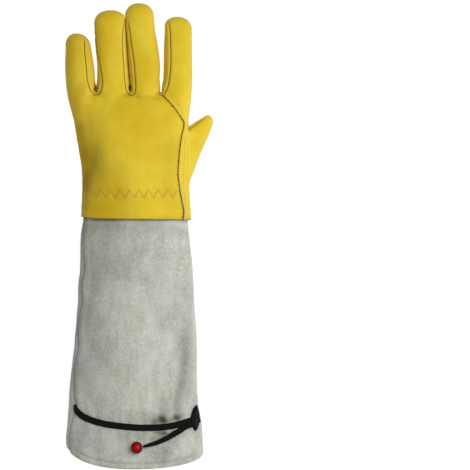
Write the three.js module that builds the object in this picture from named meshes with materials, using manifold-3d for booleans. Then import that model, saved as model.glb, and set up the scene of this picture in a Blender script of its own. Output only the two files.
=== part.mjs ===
// Rose pruning glove for the left hand: yellow grain leather hand, long split-suede gauntlet, draw strap.
// Millimetres. It lies palm down: X towards the thumb, Y towards the fingertips, Z up from the floor.
import * as THREE from "three";
import { mergeVertices } from "three/addons/utils/BufferGeometryUtils.js";
import Module from "manifold-3d";

const wasm = await Module();
wasm.setup();

// Driving dimensions
const grainLeather = 1.8; // wall of the yellow hand
const suede = 2; // wall of the gauntlet
const gap = 0.3; // clearance between two pieces that are sewn or laid together
const hemY = 16; // lower edge of the hand leather
const tuck = 12; // length of gauntlet that runs up inside the hand
const tuckRoom = 0.9; // room between that length and the hand round it
const bandWidth = 6.5;
const bandThick = 1.5;
const tailWidth = 5.6;
const tailThick = 2.4;
const beadWidth = 12;
const beadLength = 10.5;
const beadBore = 3;
const weltRadius = 1.3;

// Facets round each form, and the exponents that make its sections squarer than an ellipse
const fingerSides = 16;
const handSides = 30;
const gauntletSides = 40;
const sectionRound = 2.3;
const tipSteps = 3;

// Hand: one row for each section. lean is how far the thumb edge stands above the little finger edge.
const hand = [
  { y: 16, left: -58, right: 52, bottom: -3, waist: 18, top: 40, lean: 0 },
  { y: 30, left: -57.5, right: 51.5, bottom: -3, waist: 17.5, top: 39.5, lean: 2 },
  { y: 48, left: -56.5, right: 51, bottom: -3, waist: 17, top: 38.5, lean: 5 },
  { y: 68, left: -57.5, right: 50.5, bottom: -2, waist: 16.5, top: 37.5, lean: 8 },
  { y: 88, left: -60.5, right: 50, bottom: -1, waist: 16, top: 37, lean: 11 },
  { y: 104, left: -63.5, right: 50, bottom: 0, waist: 16, top: 36, lean: 13 },
  { y: 118, left: -66.2, right: 50, bottom: 1, waist: 16, top: 34, lean: 12 },
  { y: 130, left: -69, right: 51.5, bottom: 3, waist: 15.5, top: 31.5, lean: 8 },
  { y: 139, left: -70.3, right: 52.6, bottom: 4.5, waist: 15, top: 28, lean: 4 },
  { y: 144, left: -67, right: 50, bottom: 8, waist: 15, top: 22, lean: 4 },
];

// Digits: sections from the root to where the tip starts to round, then the tip itself
const digits = {
  little: {
    rows: [
      { y: 108, left: -64, right: -41, bottom: 0, waist: 12, top: 25 },
      { y: 134, left: -70.5, right: -43, bottom: 0, waist: 11, top: 24.5 },
      { y: 152, left: -73, right: -44, bottom: -1, waist: 10.5, top: 23 },
      { y: 170, left: -74, right: -45, bottom: -1, waist: 10, top: 22 },
      { y: 189, left: -73.6, right: -48, bottom: -1, waist: 9.5, top: 20.5 },
    ],
    tip: { x: -62.5, y: 203, z: 9 },
    tipRound: 2.2,
  },
  ring: {
    rows: [
      { y: 112, left: -41, right: -10, bottom: 3.5, waist: 14, top: 31 },
      { y: 146, left: -42, right: -12, bottom: 3.5, waist: 13, top: 27 },
      { y: 170, left: -42, right: -12, bottom: -1, waist: 11, top: 24.5 },
      { y: 186, left: -43.5, right: -14, bottom: -1, waist: 10.5, top: 23 },
      { y: 214, left: -45, right: -15, bottom: -1, waist: 9.5, top: 21 },
    ],
    tip: { x: -28.5, y: 226, z: 9.5 },
    tipRound: 2.25,
  },
  middle: {
    rows: [
      { y: 112, left: -9, right: 21, bottom: 4.5, waist: 16, top: 34 },
      { y: 146, left: -9, right: 21, bottom: 4.5, waist: 14, top: 28.5 },
      { y: 172, left: -11, right: 21, bottom: 0, waist: 11.5, top: 25 },
      { y: 188, left: -12, right: 19, bottom: -1, waist: 11, top: 23.5 },
      { y: 206, left: -12.5, right: 16.2, bottom: -1, waist: 10, top: 22 },
      { y: 221, left: -13.2, right: 14.6, bottom: -1, waist: 9.5, top: 20.5 },
    ],
    tip: { x: 0, y: 233, z: 9.5 },
    tipRound: 2.25,
  },
  index: {
    rows: [
      { y: 118, left: 21, right: 49.5, bottom: 12, waist: 22, top: 34 },
      { y: 134, left: 22, right: 52, bottom: 8, waist: 18, top: 31 },
      { y: 146, left: 22.5, right: 53, bottom: 5, waist: 15, top: 28.5 },
      { y: 170, left: 24, right: 53, bottom: 1, waist: 12, top: 25 },
      { y: 190, left: 25, right: 53, bottom: -1, waist: 11, top: 23 },
      { y: 208, left: 25.4, right: 52.8, bottom: -1, waist: 9.5, top: 21 },
    ],
    tip: { x: 38, y: 219.5, z: 9.5 },
    tipRound: 2.25,
  },
  thumb: {
    rows: [
      { y: 44, left: 20, right: 48, bottom: 1, waist: 13, top: 24 },
      { y: 56, left: 22, right: 51.8, bottom: -1, waist: 13, top: 27 },
      { y: 68, left: 25, right: 56.2, bottom: -2, waist: 13, top: 28 },
      { y: 80, left: 29, right: 60.6, bottom: -2, waist: 13, top: 27 },
      { y: 92, left: 34, right: 65.6, bottom: -2, waist: 12, top: 25 },
      { y: 102, left: 40, right: 70, bottom: -2, waist: 11, top: 22.5 },
      { y: 109, left: 47.5, right: 72.8, bottom: -1, waist: 10.5, top: 20.5 },
      { y: 114, left: 55.6, right: 73.8, bottom: 1, waist: 10.3, top: 18 },
    ],
    tip: { x: 68.2, y: 121, z: 9.8 },
    tipRound: 2,
  },
};

// Gauntlet: one row for each section below the hand. rim is how far it has bent into the curved mouth.
const gauntlet = [
  { y: -200, left: -73, right: 65, bottom: -6, waist: 22, top: 50, rim: 1 },
  { y: -200, left: -72.6, right: 64.8, bottom: -6, waist: 22, top: 49.4, rim: 0.6 },
  { y: -200, left: -72, right: 64, bottom: -6, waist: 21.5, top: 48.5, rim: 0 },
  { y: -187, left: -71.2, right: 62.8, bottom: -6, waist: 21, top: 46.5, rim: 0 },
  { y: -172, left: -70.4, right: 60, bottom: -6, waist: 21, top: 47.5, rim: 0 },
  { y: -148, left: -68.5, right: 58.2, bottom: -6, waist: 20.5, top: 47, rim: 0 },
  { y: -124, left: -66, right: 58, bottom: -6, waist: 20, top: 46, rim: 0 },
  { y: -100, left: -63.6, right: 57.4, bottom: -6, waist: 20, top: 45, rim: 0 },
  { y: -66, left: -61.6, right: 55.4, bottom: -5.5, waist: 19.5, top: 43.5, rim: 0 },
  { y: -30, left: -59, right: 53.4, bottom: -5, waist: 19, top: 42, rim: 0 },
  { y: 6, left: -57, right: 50, bottom: -4, waist: 18, top: 39.4, rim: 0 },
];
const mouth = { leftY: -206, rightY: -215, lowestY: -232.6, round: 2.2 };

// Seams, seen from above: [x, y] along each line
const backSeam = [[24.5, 141], [32, 133.4], [38.2, 125.6], [42.6, 119.2], [46, 113.4], [45.4, 108], [43, 97],
  [41.4, 85], [40.4, 72], [39.9, 60], [41.2, 50], [43.4, 36], [45.6, 24], [43.2, 10]];
const thumbSeam = [[27, 10], [29, 33], [32, 43], [38, 55], [46, 66], [55, 84], [63, 102], [68.4, 114],
  [70, 126]];
const frontSeams = {
  ring: [[-43, 141], [-39, 139], [-33, 136.4], [-25.4, 135.7], [-16, 137.4], [-10.4, 141.5]],
  middle: [[-6.6, 141.5], [-2, 139.6], [5, 139], [14, 139], [20.6, 139.3]],
};
const forkBetween = {
  little_ring: {
    near: [[-54.6, 202], [-54.3, 186], [-52.7, 169], [-51, 152], [-47, 141]],
    far: [[-41, 141], [-38, 152], [-39.5, 166.5], [-42.8, 186], [-44.6, 207]],
  },
  ring_middle: {
    near: [[-15.4, 215], [-16.4, 194], [-15.5, 171], [-14.6, 152], [-13, 144], [-10, 139.6]],
    far: [[-7, 139.6], [-5, 145], [-4.2, 152], [-4.8, 169], [-8, 192], [-11, 211], [-14, 222]],
  },
  middle_index: {
    near: [[15, 222], [14.6, 206], [16.4, 188], [18.4, 170], [18.8, 152], [19, 140]],
    far: [[24, 140.5], [27.8, 147], [31, 164.5], [31.5, 183.5], [30.4, 206], [29, 217]],
  },
};

// Height of the seam that joins back to palm, at the little finger edge and at the thumb edge
const sideSeam = [
  { y: 5, little: 13, thumb: 15 },
  { y: 60, little: 10, thumb: 14.5 },
  { y: 98, little: 6.5, thumb: 15 },
  { y: 110, little: 7, thumb: 19 },
  { y: 125, little: 8.5, thumb: 21 },
  { y: 146, little: 11, thumb: 15.5 },
  { y: 172, little: 10, thumb: 12 },
  { y: 206, little: 9.5, thumb: 10.5 },
  { y: 240, little: 9.5, thumb: 10 },
];

// Draw strap on the back of the gauntlet, seen from above
const bandLine = [[-64.4, -172.6], [-59.2, -177.6], [-47, -183.8], [-34, -187.5], [-20, -189.5], [-5, -191],
  [10, -191.3], [25, -190.8], [39, -188.2], [47.5, -185.6], [53.8, -183.6]];
const tailLine = [[53.6, -188.6], [47, -190.8], [40.8, -194.2], [34.6, -198], [28.5, -201.4], [21, -205],
  [13, -207.9], [8, -209.2], [3.9, -210.3]];
// Lift of the tail at each of those points, over the band at one end and to the bead's bore at the other
const tailRise = [2.2, 2, 0.8, 0, 0, 0, 1.2, 3, 4.2];
const beadAt = [-2.1, -211.6];
const lockAt = [56.2, -181.4];
const lockOutline = [[1.2, 13], [-2.4, 9.6], [-4.9, 4], [-5.6, 0], [-4.6, -8.4], [-3, -10.6], [-0.6, -13],
  [2.4, -8.6], [5.6, -4.6], [4.4, 4.4]];
const lockThick = 5;
const lockBevel = 1;

const leatherYellow = new THREE.MeshStandardMaterial({ color: 0xe0c23c, roughness: 0.5, metalness: 0 });
const suedeGrey = new THREE.MeshStandardMaterial({ color: 0xb5b6aa, roughness: 0.95, metalness: 0 });
const weltCream = new THREE.MeshStandardMaterial({ color: 0xcfc6a4, roughness: 0.9, metalness: 0 });
const elasticBlack = new THREE.MeshStandardMaterial({ color: 0x151517, roughness: 0.85, metalness: 0 });
const plasticBlack = new THREE.MeshStandardMaterial({ color: 0x101012, roughness: 0.45, metalness: 0 });
const plasticRed = new THREE.MeshStandardMaterial({ color: 0xb01018, roughness: 0.15, metalness: 0 });

// A closed geometry becomes a solid, and a solid a geometry.
function solidFrom(geometry) {
  const bare = geometry.clone();
  bare.deleteAttribute("normal");
  bare.deleteAttribute("uv");
  const merged = mergeVertices(bare, 1e-4);
  return new wasm.Manifold(new wasm.Mesh({
    numProp: 3,
    vertProperties: new Float32Array(merged.attributes.position.array),
    triVerts: new Uint32Array(merged.index.array),
  }));
}

function geometryFrom(solid) {
  const { vertProperties, triVerts } = solid.getMesh();
  const geometry = new THREE.BufferGeometry();
  geometry.setAttribute("position", new THREE.BufferAttribute(vertProperties, 3));
  geometry.setIndex([...triVerts]);
  geometry.computeVertexNormals();
  return geometry;
}

// Rings of points, ordered towards +Y and turning from +X to +Z, skinned and closed at both ends.
function loft(rings, startPoint, endPoint) {
  const sides = rings[0].length;
  const points = rings.flat().concat(startPoint, endPoint);
  const start = rings.length * sides;
  const end = start + 1;
  const lastRing = (rings.length - 1) * sides;
  const faces = [];
  for (let side = 0; side < sides; side += 1) {
    const next = (side + 1) % sides;
    for (let row = 0; row < lastRing; row += sides) {
      faces.push(row + side, row + sides + next, row + next);
      faces.push(row + side, row + sides + side, row + sides + next);
    }
    faces.push(start, side, next);
    faces.push(end, lastRing + next, lastRing + side);
  }
  return new THREE.BufferGeometry().setFromPoints(points).setIndex(faces);
}

function middleOf(ring) {
  const sum = new THREE.Vector3();
  ring.forEach((point) => sum.add(point));
  return sum.divideScalar(ring.length);
}

function signedPower(value, power) {
  return Math.sign(value) * Math.abs(value) ** power;
}

// Height of the curved mouth's edge at x, and where a section's point lies along Y once it has bent into it.
function mouthY(x, row) {
  const share = (x - row.left) / (row.right - row.left);
  const corner = THREE.MathUtils.lerp(mouth.leftY, mouth.rightY, share);
  const outward = Math.min(1, Math.abs(2 * share - 1));
  const bulge = (1 - outward ** mouth.round) ** (1 / mouth.round);
  return THREE.MathUtils.lerp(corner, mouth.lowestY, bulge);
}

// One ring of a loft: a rounded section in X and Z, pressed flat where it would sink below the floor.
function sectionRing(row, inset, sides) {
  const centre = (row.left + row.right) / 2;
  const half = (row.right - row.left) / 2 - inset;
  const ring = [];
  for (let side = 0; side < sides; side += 1) {
    const angle = (2 * Math.PI * side) / sides;
    const across = signedPower(Math.cos(angle), 2 / sectionRound);
    const up = signedPower(Math.sin(angle), 2 / sectionRound);
    const reach = up > 0 ? row.top - inset - row.waist : row.waist - row.bottom - inset;
    const x = centre + half * across;
    const z = row.waist + reach * up + ((row.lean ?? 0) * across) / 2;
    const y = row.rim ? THREE.MathUtils.lerp(row.y, mouthY(x, row), row.rim) : row.y;
    ring.push(new THREE.Vector3(x, y, Math.max(z, inset)));
  }
  return ring;
}

// A table's section at any y, by straight lines between its rows.
function rowAt(table, y) {
  const after = Math.max(1, table.findIndex((row) => row.y >= y));
  const [low, high] = [table[after - 1], table[after]];
  const share = (y - low.y) / (high.y - low.y);
  const blend = (column) => THREE.MathUtils.lerp(low[column] ?? 0, high[column] ?? 0, share);
  return {
    y,
    left: blend("left"),
    right: blend("right"),
    bottom: blend("bottom"),
    waist: blend("waist"),
    top: blend("top"),
    lean: blend("lean"),
  };
}

function digitSolid(digit, inset) {
  const rings = digit.rows.map((row) => sectionRing(row, inset, fingerSides));
  const last = rings.at(-1);
  const lastRow = digit.rows.at(-1);
  const base = new THREE.Vector3((lastRow.left + lastRow.right) / 2, lastRow.y, lastRow.waist);
  const tip = new THREE.Vector3(digit.tip.x, digit.tip.y - inset, digit.tip.z);
  for (let step = 1; step <= tipSteps; step += 1) {
    const angle = ((step / (tipSteps + 0.6)) * Math.PI) / 2;
    const reach = Math.sin(angle) ** (2 / digit.tipRound);
    const size = Math.cos(angle) ** (2 / digit.tipRound);
    const centre = base.clone().lerp(tip, reach);
    rings.push(last.map((point) => point.clone().sub(base).multiplyScalar(size).setY(0).add(centre)));
  }
  return solidFrom(loft(rings, middleOf(rings[0]), tip));
}

function handSolid(inset, openEnd) {
  const rows = [...hand];
  const end = rows.pop();
  const rings = rows.map((row) => sectionRing(row, inset, handSides));
  rings[0].forEach((point) => point.setY(hemY - openEnd));
  rings.push(sectionRing({ ...end, y: end.y - inset }, inset, handSides));
  return solidFrom(loft(rings, middleOf(rings[0]), middleOf(rings.at(-1))));
}

// The whole yellow hand as one closed form
function handForm(inset, openEnd) {
  return Object.values(digits).reduce(
    (form, digit) => form.add(digitSolid(digit, inset)),
    handSolid(inset, openEnd),
  );
}

// An upright prism over a plan outline
const lowest = -20;
const highest = 80;
function prism(outline) {
  const shape = new THREE.Shape(outline.map(([x, y]) => new THREE.Vector2(x, y)));
  const geometry = new THREE.ExtrudeGeometry(shape, { depth: highest - lowest, bevelEnabled: false });
  return solidFrom(geometry.translate(0, 0, lowest));
}

// A closed plan outline moved outwards by a distance
function widened(outline, distance) {
  const area = THREE.ShapeUtils.area(outline.map(([x, y]) => ({ x, y })));
  const outward = Math.sign(area) * distance;
  return outline.map(([x, y], i) => {
    const [px, py] = outline.at(i - 1);
    const [nx, ny] = outline[(i + 1) % outline.length];
    const before = new THREE.Vector2(y - py, px - x).normalize();
    const after = new THREE.Vector2(ny - y, x - nx).normalize();
    const corner = before.clone().add(after).normalize();
    const stretch = outward / Math.max(0.5, corner.dot(before));
    return [x + corner.x * stretch, y + corner.y * stretch];
  });
}

// Everything above the side seam's height, moved up by a shift
const reachX = 100;
function aboveSeam(shift) {
  const rings = sideSeam.map(({ y, little, thumb }) => [
    new THREE.Vector3(-reachX, y, little + shift),
    new THREE.Vector3(reachX, y, thumb + shift),
    new THREE.Vector3(reachX, y, highest),
    new THREE.Vector3(-reachX, y, highest),
  ]);
  return solidFrom(loft(rings, middleOf(rings[0]), middleOf(rings.at(-1))));
}

// The piece itself, without the crumbs that a seam leaves where it grazes a wall
function mainBody(solid) {
  return solid.decompose().reduce((a, b) => (a.volume() > b.volume() ? a : b));
}

const group = new THREE.Group();
function addPiece(name, solid, material) {
  const mesh = new THREE.Mesh(geometryFrom(mainBody(solid)), material);
  mesh.name = name;
  group.add(mesh);
}

// Hand shell, then cut along its seams
const openPast = 3; // how far the hollow runs out past an open end
const handShell = handForm(0, 0).subtract(handForm(grainLeather, openPast));

let panels = handShell;
for (const [name, { near, far }] of Object.entries(forkBetween)) {
  const tongue = [...near, ...far];
  addPiece(`fourchette_${name}`, handShell.intersect(prism(tongue)), leatherYellow);
  panels = panels.subtract(prism(widened(tongue, gap)));
}

const backOutline = [...backSeam, [-90, 10], [-90, 240], [20, 240]];
const wrapOutline = [...thumbSeam, [90, 126], [90, 10]];
const frontOutlines = {
  ring: [...frontSeams.ring, [-8, 155], [-8, 186], [-13.5, 222], [-13.5, 240], [-50, 240]],
  middle: [...frontSeams.middle, [20.6, 240], [-13.5, 240], [-13.5, 222], [-8, 186], [-8, 155]],
};
const topHalf = panels.intersect(aboveSeam(0));
const bottomHalf = panels.subtract(aboveSeam(-gap));
addPiece("back_panel", topHalf.intersect(prism(backOutline)), leatherYellow);

const joinOver = 0.01; // how far two halves of one piece run into each other
const wrap = panels.subtract(aboveSeam(joinOver)).intersect(prism(wrapOutline));
const thumbSide = topHalf.subtract(prism(widened(backOutline, gap))).add(wrap);
addPiece("thumb_index_back", thumbSide, leatherYellow);

let palm = bottomHalf.subtract(prism(widened(wrapOutline, gap)));
for (const [name, outline] of Object.entries(frontOutlines)) {
  addPiece(`${name}_front`, bottomHalf.intersect(prism(outline)), leatherYellow);
  palm = palm.subtract(prism(widened(outline, gap)));
}
addPiece("palm_panel", palm, leatherYellow);

// Gauntlet sleeve: its top is tucked inside the hand, its mouth has a turned hem
function gauntletSolid(wall, hemInset, past) {
  const below = gauntlet.map((row) => sectionRing(row, wall + (row.rim ? hemInset : 0), gauntletSides));
  below[0].forEach((point) => point.setY(point.y - past));
  const tucked = [hemY - 1, hemY + tuck].map((y) =>
    sectionRing(rowAt(hand, y), wall + grainLeather + tuckRoom, gauntletSides));
  tucked[1].forEach((point) => point.setY(point.y + past));
  const rings = [...below, ...tucked];
  return solidFrom(loft(rings, middleOf(rings[0]), middleOf(rings.at(-1))));
}
const sleeve = gauntletSolid(0, 0, 0).subtract(gauntletSolid(suede, suede * 0.8, openPast));
addPiece("gauntlet", sleeve, suedeGrey);

// Point on the gauntlet's upper surface, and the way it faces
const gauntletRows = gauntlet.filter((row) => !row.rim);
gauntletRows.push({ ...gauntlet[0], y: -226 });
gauntletRows.sort((a, b) => a.y - b.y);
function gauntletTop(x, y) {
  const row = rowAt(gauntletRows, y);
  const centre = (row.left + row.right) / 2;
  const outward = Math.min(0.985, Math.abs(x - centre) / ((row.right - row.left) / 2));
  return row.waist + (row.top - row.waist) * (1 - outward ** sectionRound) ** (1 / sectionRound);
}
function gauntletNormal(x, y) {
  const step = 0.5;
  const slopeX = (gauntletTop(x + step, y) - gauntletTop(x - step, y)) / (2 * step);
  const slopeY = (gauntletTop(x, y + step) - gauntletTop(x, y - step)) / (2 * step);
  return new THREE.Vector3(-slopeX, -slopeY, 1).normalize();
}
function onGauntlet([x, y], lift) {
  const normal = gauntletNormal(x, y);
  return new THREE.Vector3(x, y, gauntletTop(x, y)).addScaledVector(normal, lift);
}

// A flat strap laid on the gauntlet along a plan line
function strapSolid(line, width, thick, lift) {
  const rings = line.map((point, i) => {
    const before = line[Math.max(0, i - 1)];
    const after = line[Math.min(line.length - 1, i + 1)];
    const normal = gauntletNormal(...point);
    const along = onGauntlet(after, 0).sub(onGauntlet(before, 0)).normalize();
    const side = new THREE.Vector3().crossVectors(along, normal).normalize().multiplyScalar(width / 2);
    const low = onGauntlet(point, lift);
    const high = onGauntlet(point, lift + thick);
    return [low.clone().add(side), high.clone().add(side), high.clone().sub(side), low.clone().sub(side)];
  });
  return solidFrom(loft(rings, middleOf(rings[0]), middleOf(rings.at(-1))));
}

const bandLift = 0.6;
const band = strapSolid(bandLine, bandWidth, bandThick, bandLift);
addPiece("elastic_band", band, elasticBlack);

// Free tail of the strap, which ends at the bead
function tailSolid(width, thick) {
  const section = new THREE.Shape();
  section.absellipse(0, 0, width / 2, thick / 2, 0, 2 * Math.PI);
  const route = new THREE.CatmullRomCurve3(tailLine.map((point, i) =>
    onGauntlet(point, bandLift + tailThick / 2 + tailRise[i])));
  return solidFrom(new THREE.ExtrudeGeometry(section, {
    steps: 12,
    curveSegments: 4,
    bevelEnabled: false,
    extrudePath: route,
  }));
}
addPiece("elastic_tail", tailSolid(tailWidth, tailThick), elasticBlack);

// Lock on the thumb edge of the gauntlet: a faceted block notched for the strap, with a ring in its face
function lockSolid() {
  const shape = new THREE.Shape(lockOutline.map(([x, y]) => new THREE.Vector2(x, y)));
  const block = new THREE.ExtrudeGeometry(shape, {
    depth: lockThick - 2 * lockBevel,
    bevelThickness: lockBevel,
    bevelSize: lockBevel,
    bevelOffset: -lockBevel,
    bevelSegments: 1,
  });
  block.translate(0, 0, lockBevel);
  const ringProfile = [[0.9, -0.6], [2.1, -0.6], [2.1, 0.3], [1.7, 0.7], [1.2, 0.7], [0.9, 0.3], [0.9, -0.6]];
  const ring = new THREE.LatheGeometry(ringProfile.map(([r, z]) => new THREE.Vector2(r, z)), 12);
  ring.rotateX(Math.PI / 2).translate(-0.4, -1.2, lockThick);
  return solidFrom(block).add(solidFrom(ring));
}
const lockFrame = new THREE.Object3D();
lockFrame.position.copy(onGauntlet(lockAt, bandLift));
lockFrame.quaternion.setFromUnitVectors(new THREE.Vector3(0, 0, 1), gauntletNormal(...lockAt));
lockFrame.updateMatrix();
// The notches run on a little past the ends of band and tail.
const bandNotch = strapSolid(bandLine, bandWidth + 2 * gap, bandThick + 2 * gap, bandLift - gap);
const tailNotch = tailSolid(tailWidth + 2 * gap, tailThick + 2 * gap);
const pastEnd = [gap, gap / 3, 0];
const lock = lockSolid()
  .transform(lockFrame.matrix.elements)
  .subtract(bandNotch)
  .subtract(bandNotch.translate(pastEnd))
  .subtract(tailNotch)
  .subtract(tailNotch.translate(pastEnd));
addPiece("cord_lock", lock, plasticBlack);

// Bead: a drilled barrel whose bore points along the end of the tail
const beadProfile = [];
const beadSteps = 7;
for (let step = 0; step <= beadSteps; step += 1) {
  const angle = THREE.MathUtils.lerp(-1.16, 1.16, step / beadSteps);
  beadProfile.push(new THREE.Vector2((beadWidth / 2) * Math.cos(angle), (beadLength / 2) * Math.sin(angle)));
}
beadProfile.push(new THREE.Vector2(beadBore / 2, beadProfile.at(-1).y));
beadProfile.push(new THREE.Vector2(beadBore / 2, beadProfile[0].y));
beadProfile.push(beadProfile[0].clone());
const beadGeometry = new THREE.LatheGeometry(beadProfile, 16);
const tailEnd = onGauntlet(tailLine.at(-1), bandLift + tailThick / 2);
const beadCentre = onGauntlet(beadAt, bandLift + beadWidth / 2);
const beadTurn = new THREE.Quaternion().setFromUnitVectors(
  new THREE.Vector3(0, 1, 0),
  tailEnd.clone().sub(beadCentre).setZ(0).normalize(),
);
beadGeometry.applyQuaternion(beadTurn).translate(...beadCentre.toArray());
addPiece("bead", solidFrom(beadGeometry), plasticRed);

// Welt rolled into the seam at the foot of the ring and middle fronts, under the hand
function underside(x, y) {
  const rows = [hand, digits.ring.rows, digits.middle.rows].map((table) => rowAt(table, y));
  const heights = rows.filter((row) => row.left < x && x < row.right).map((row) => {
    const across = (x - (row.left + row.right) / 2) / ((row.right - row.left) / 2);
    const drop = (1 - Math.abs(across) ** sectionRound) ** (1 / sectionRound);
    return row.waist - (row.waist - row.bottom) * drop + (row.lean * across) / 2;
  });
  return Math.min(...heights);
}
const weltLine = [...frontSeams.ring.slice(1, -1), [-8, 139.4], ...frontSeams.middle.slice(2)];
const weltRoute = new THREE.CatmullRomCurve3(weltLine.map(([x, y]) =>
  new THREE.Vector3(x, y, underside(x, y) - weltRadius - gap)));
const weltShape = new THREE.Shape().absellipse(0, 0, weltRadius, weltRadius, 0, 2 * Math.PI);
const welt = new THREE.ExtrudeGeometry(weltShape, {
  steps: 14,
  curveSegments: 4,
  bevelEnabled: false,
  extrudePath: weltRoute,
});
addPiece("finger_base_welt", solidFrom(welt), weltCream);

export default group;
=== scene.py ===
import math
from functools import partial

import bmesh
import bpy
import numpy as np
from mathutils import Matrix, Vector, noise
from mathutils.bvhtree import BVHTree
from mathutils.kdtree import KDTree


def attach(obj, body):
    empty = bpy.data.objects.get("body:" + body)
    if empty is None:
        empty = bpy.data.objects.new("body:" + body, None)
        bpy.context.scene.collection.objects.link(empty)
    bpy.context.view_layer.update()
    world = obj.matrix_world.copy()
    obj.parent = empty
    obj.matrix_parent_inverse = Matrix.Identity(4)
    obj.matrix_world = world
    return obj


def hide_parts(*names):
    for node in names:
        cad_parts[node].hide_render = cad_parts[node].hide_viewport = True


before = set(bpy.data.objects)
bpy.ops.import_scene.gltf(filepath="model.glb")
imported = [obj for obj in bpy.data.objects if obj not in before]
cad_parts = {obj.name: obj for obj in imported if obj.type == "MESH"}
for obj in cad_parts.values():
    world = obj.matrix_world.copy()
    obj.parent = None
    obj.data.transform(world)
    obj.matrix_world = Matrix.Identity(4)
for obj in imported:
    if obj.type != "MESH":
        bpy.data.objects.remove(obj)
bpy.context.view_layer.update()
mm = 0.001
print("frame loaded")


def addObject(name, data):
    thing = bpy.data.objects.new(name, data)
    bpy.context.scene.collection.objects.link(thing)
    return thing


# Camera straight above and far off, one pixel of the 470 px picture to the millimetre at the glove's mid height
camera = {"centre": (0.0960, 0.0010), "outlineHeight": 0.022, "distance": 9.0, "pictureWidth": 0.470}
cameraData = bpy.data.cameras.new("camera")
cameraData.sensor_width = 36
cameraData.lens = cameraData.sensor_width * camera["distance"] / camera["pictureWidth"]
cameraData.clip_end = 50
cameraObject = addObject("camera", cameraData)
cameraObject.location = (*camera["centre"], camera["outlineHeight"] + camera["distance"])
bpy.context.scene.camera = cameraObject
bpy.context.scene.view_settings.view_transform = "Standard"

# Soft studio: a big key from the thumb side and weak light all round
studio = {"keyFrom": (0.34, 0.02, 0.74), "keySize": 0.75, "keyWatts": 6.3, "sky": 0.2}
lamp = bpy.data.lights.new("key", "AREA")
lamp.size = studio["keySize"]
lamp.energy = studio["keyWatts"]
lampObject = addObject("key", lamp)
lampObject.location = studio["keyFrom"]
lampObject.rotation_euler = (-Vector(studio["keyFrom"])).to_track_quat("-Z", "Y").to_euler()
world = bpy.data.worlds.new("studio")
world.use_nodes = True
bpy.context.scene.world = world
print("camera and lights set")


# sRGB hex to the linear colour that a socket takes
def toLinear(hexColour):
    parts = [int(hexColour[i : i + 2], 16) / 255 for i in (1, 3, 5)]
    return [p / 12.92 if p <= 0.04045 else ((p + 0.055) / 1.055) ** 2.4 for p in parts] + [1]


# A socket is linked, a hex colour turned to linear, and any other value set as it is
def setInputs(node, inputs):
    for name, value in inputs.items():
        if isinstance(value, bpy.types.NodeSocket):
            node.id_data.links.new(value, node.inputs[name])
        else:
            node.inputs[name].default_value = toLinear(value) if isinstance(value, str) else value


# Adds a node and returns the output that is named, or the first in use. A stop's colour is hex or a grey.
def addNode(tree, kind, inputs=None, stops=(), output=None, **settings):
    node = tree.nodes.new("ShaderNode" + kind)
    for name, value in settings.items():
        setattr(node, name, value)
    setInputs(node, inputs or {})
    for i, (place, colour) in enumerate(stops):
        ramp = node.color_ramp.elements
        stop = ramp[i] if i < len(ramp) else ramp.new(place)
        stop.position = place
        stop.color = toLinear(colour) if isinstance(colour, str) else (colour, colour, colour, 1)
    return node.outputs[output] if output else next(o for o in node.outputs if o.enabled)


def newMaterial(name):
    material = bpy.data.materials.new(name)
    material.use_nodes = True
    return material, partial(addNode, material.node_tree)


def finishMaterial(material, inputs):
    setInputs(material.node_tree.nodes["Principled BSDF"], inputs)
    return material


setInputs(world.node_tree.nodes["Background"], {"Color": (1, 1, 1, 1), "Strength": studio["sky"]})

# Full-grain cowhide, drum dyed yellow and lightly finished: a satin skin with fine pebbles, cloudy dye that is
# a little deeper in places, and painted shade in its creases and along its seams. Pattern sizes are in mm.
grainLook = {
    # four of these colours are painted: shade in creases and seams, broad shade, light on sides facing the key
    # light, and a highlight beside each seam
    "light": "#EBCE36", "deep": "#DEBC20", "paintedShade": "#683C00", "raw": "#DCC460", "rawLow": "#B6BC96",
    "paintedSeamHighlight": "#F6E26A", "paintedBroadShade": "#744C06", "paintedSideLight": "#F4E276", "waxy": "#FFF6CE",
    "cloud": 42, "speck": 2.6, "ragged": 2.1, "pebble": 1.0, "wrinkle": 7, "cutEdge": 0.4,
}
toMm = (1000, 1000, 1000)


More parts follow.
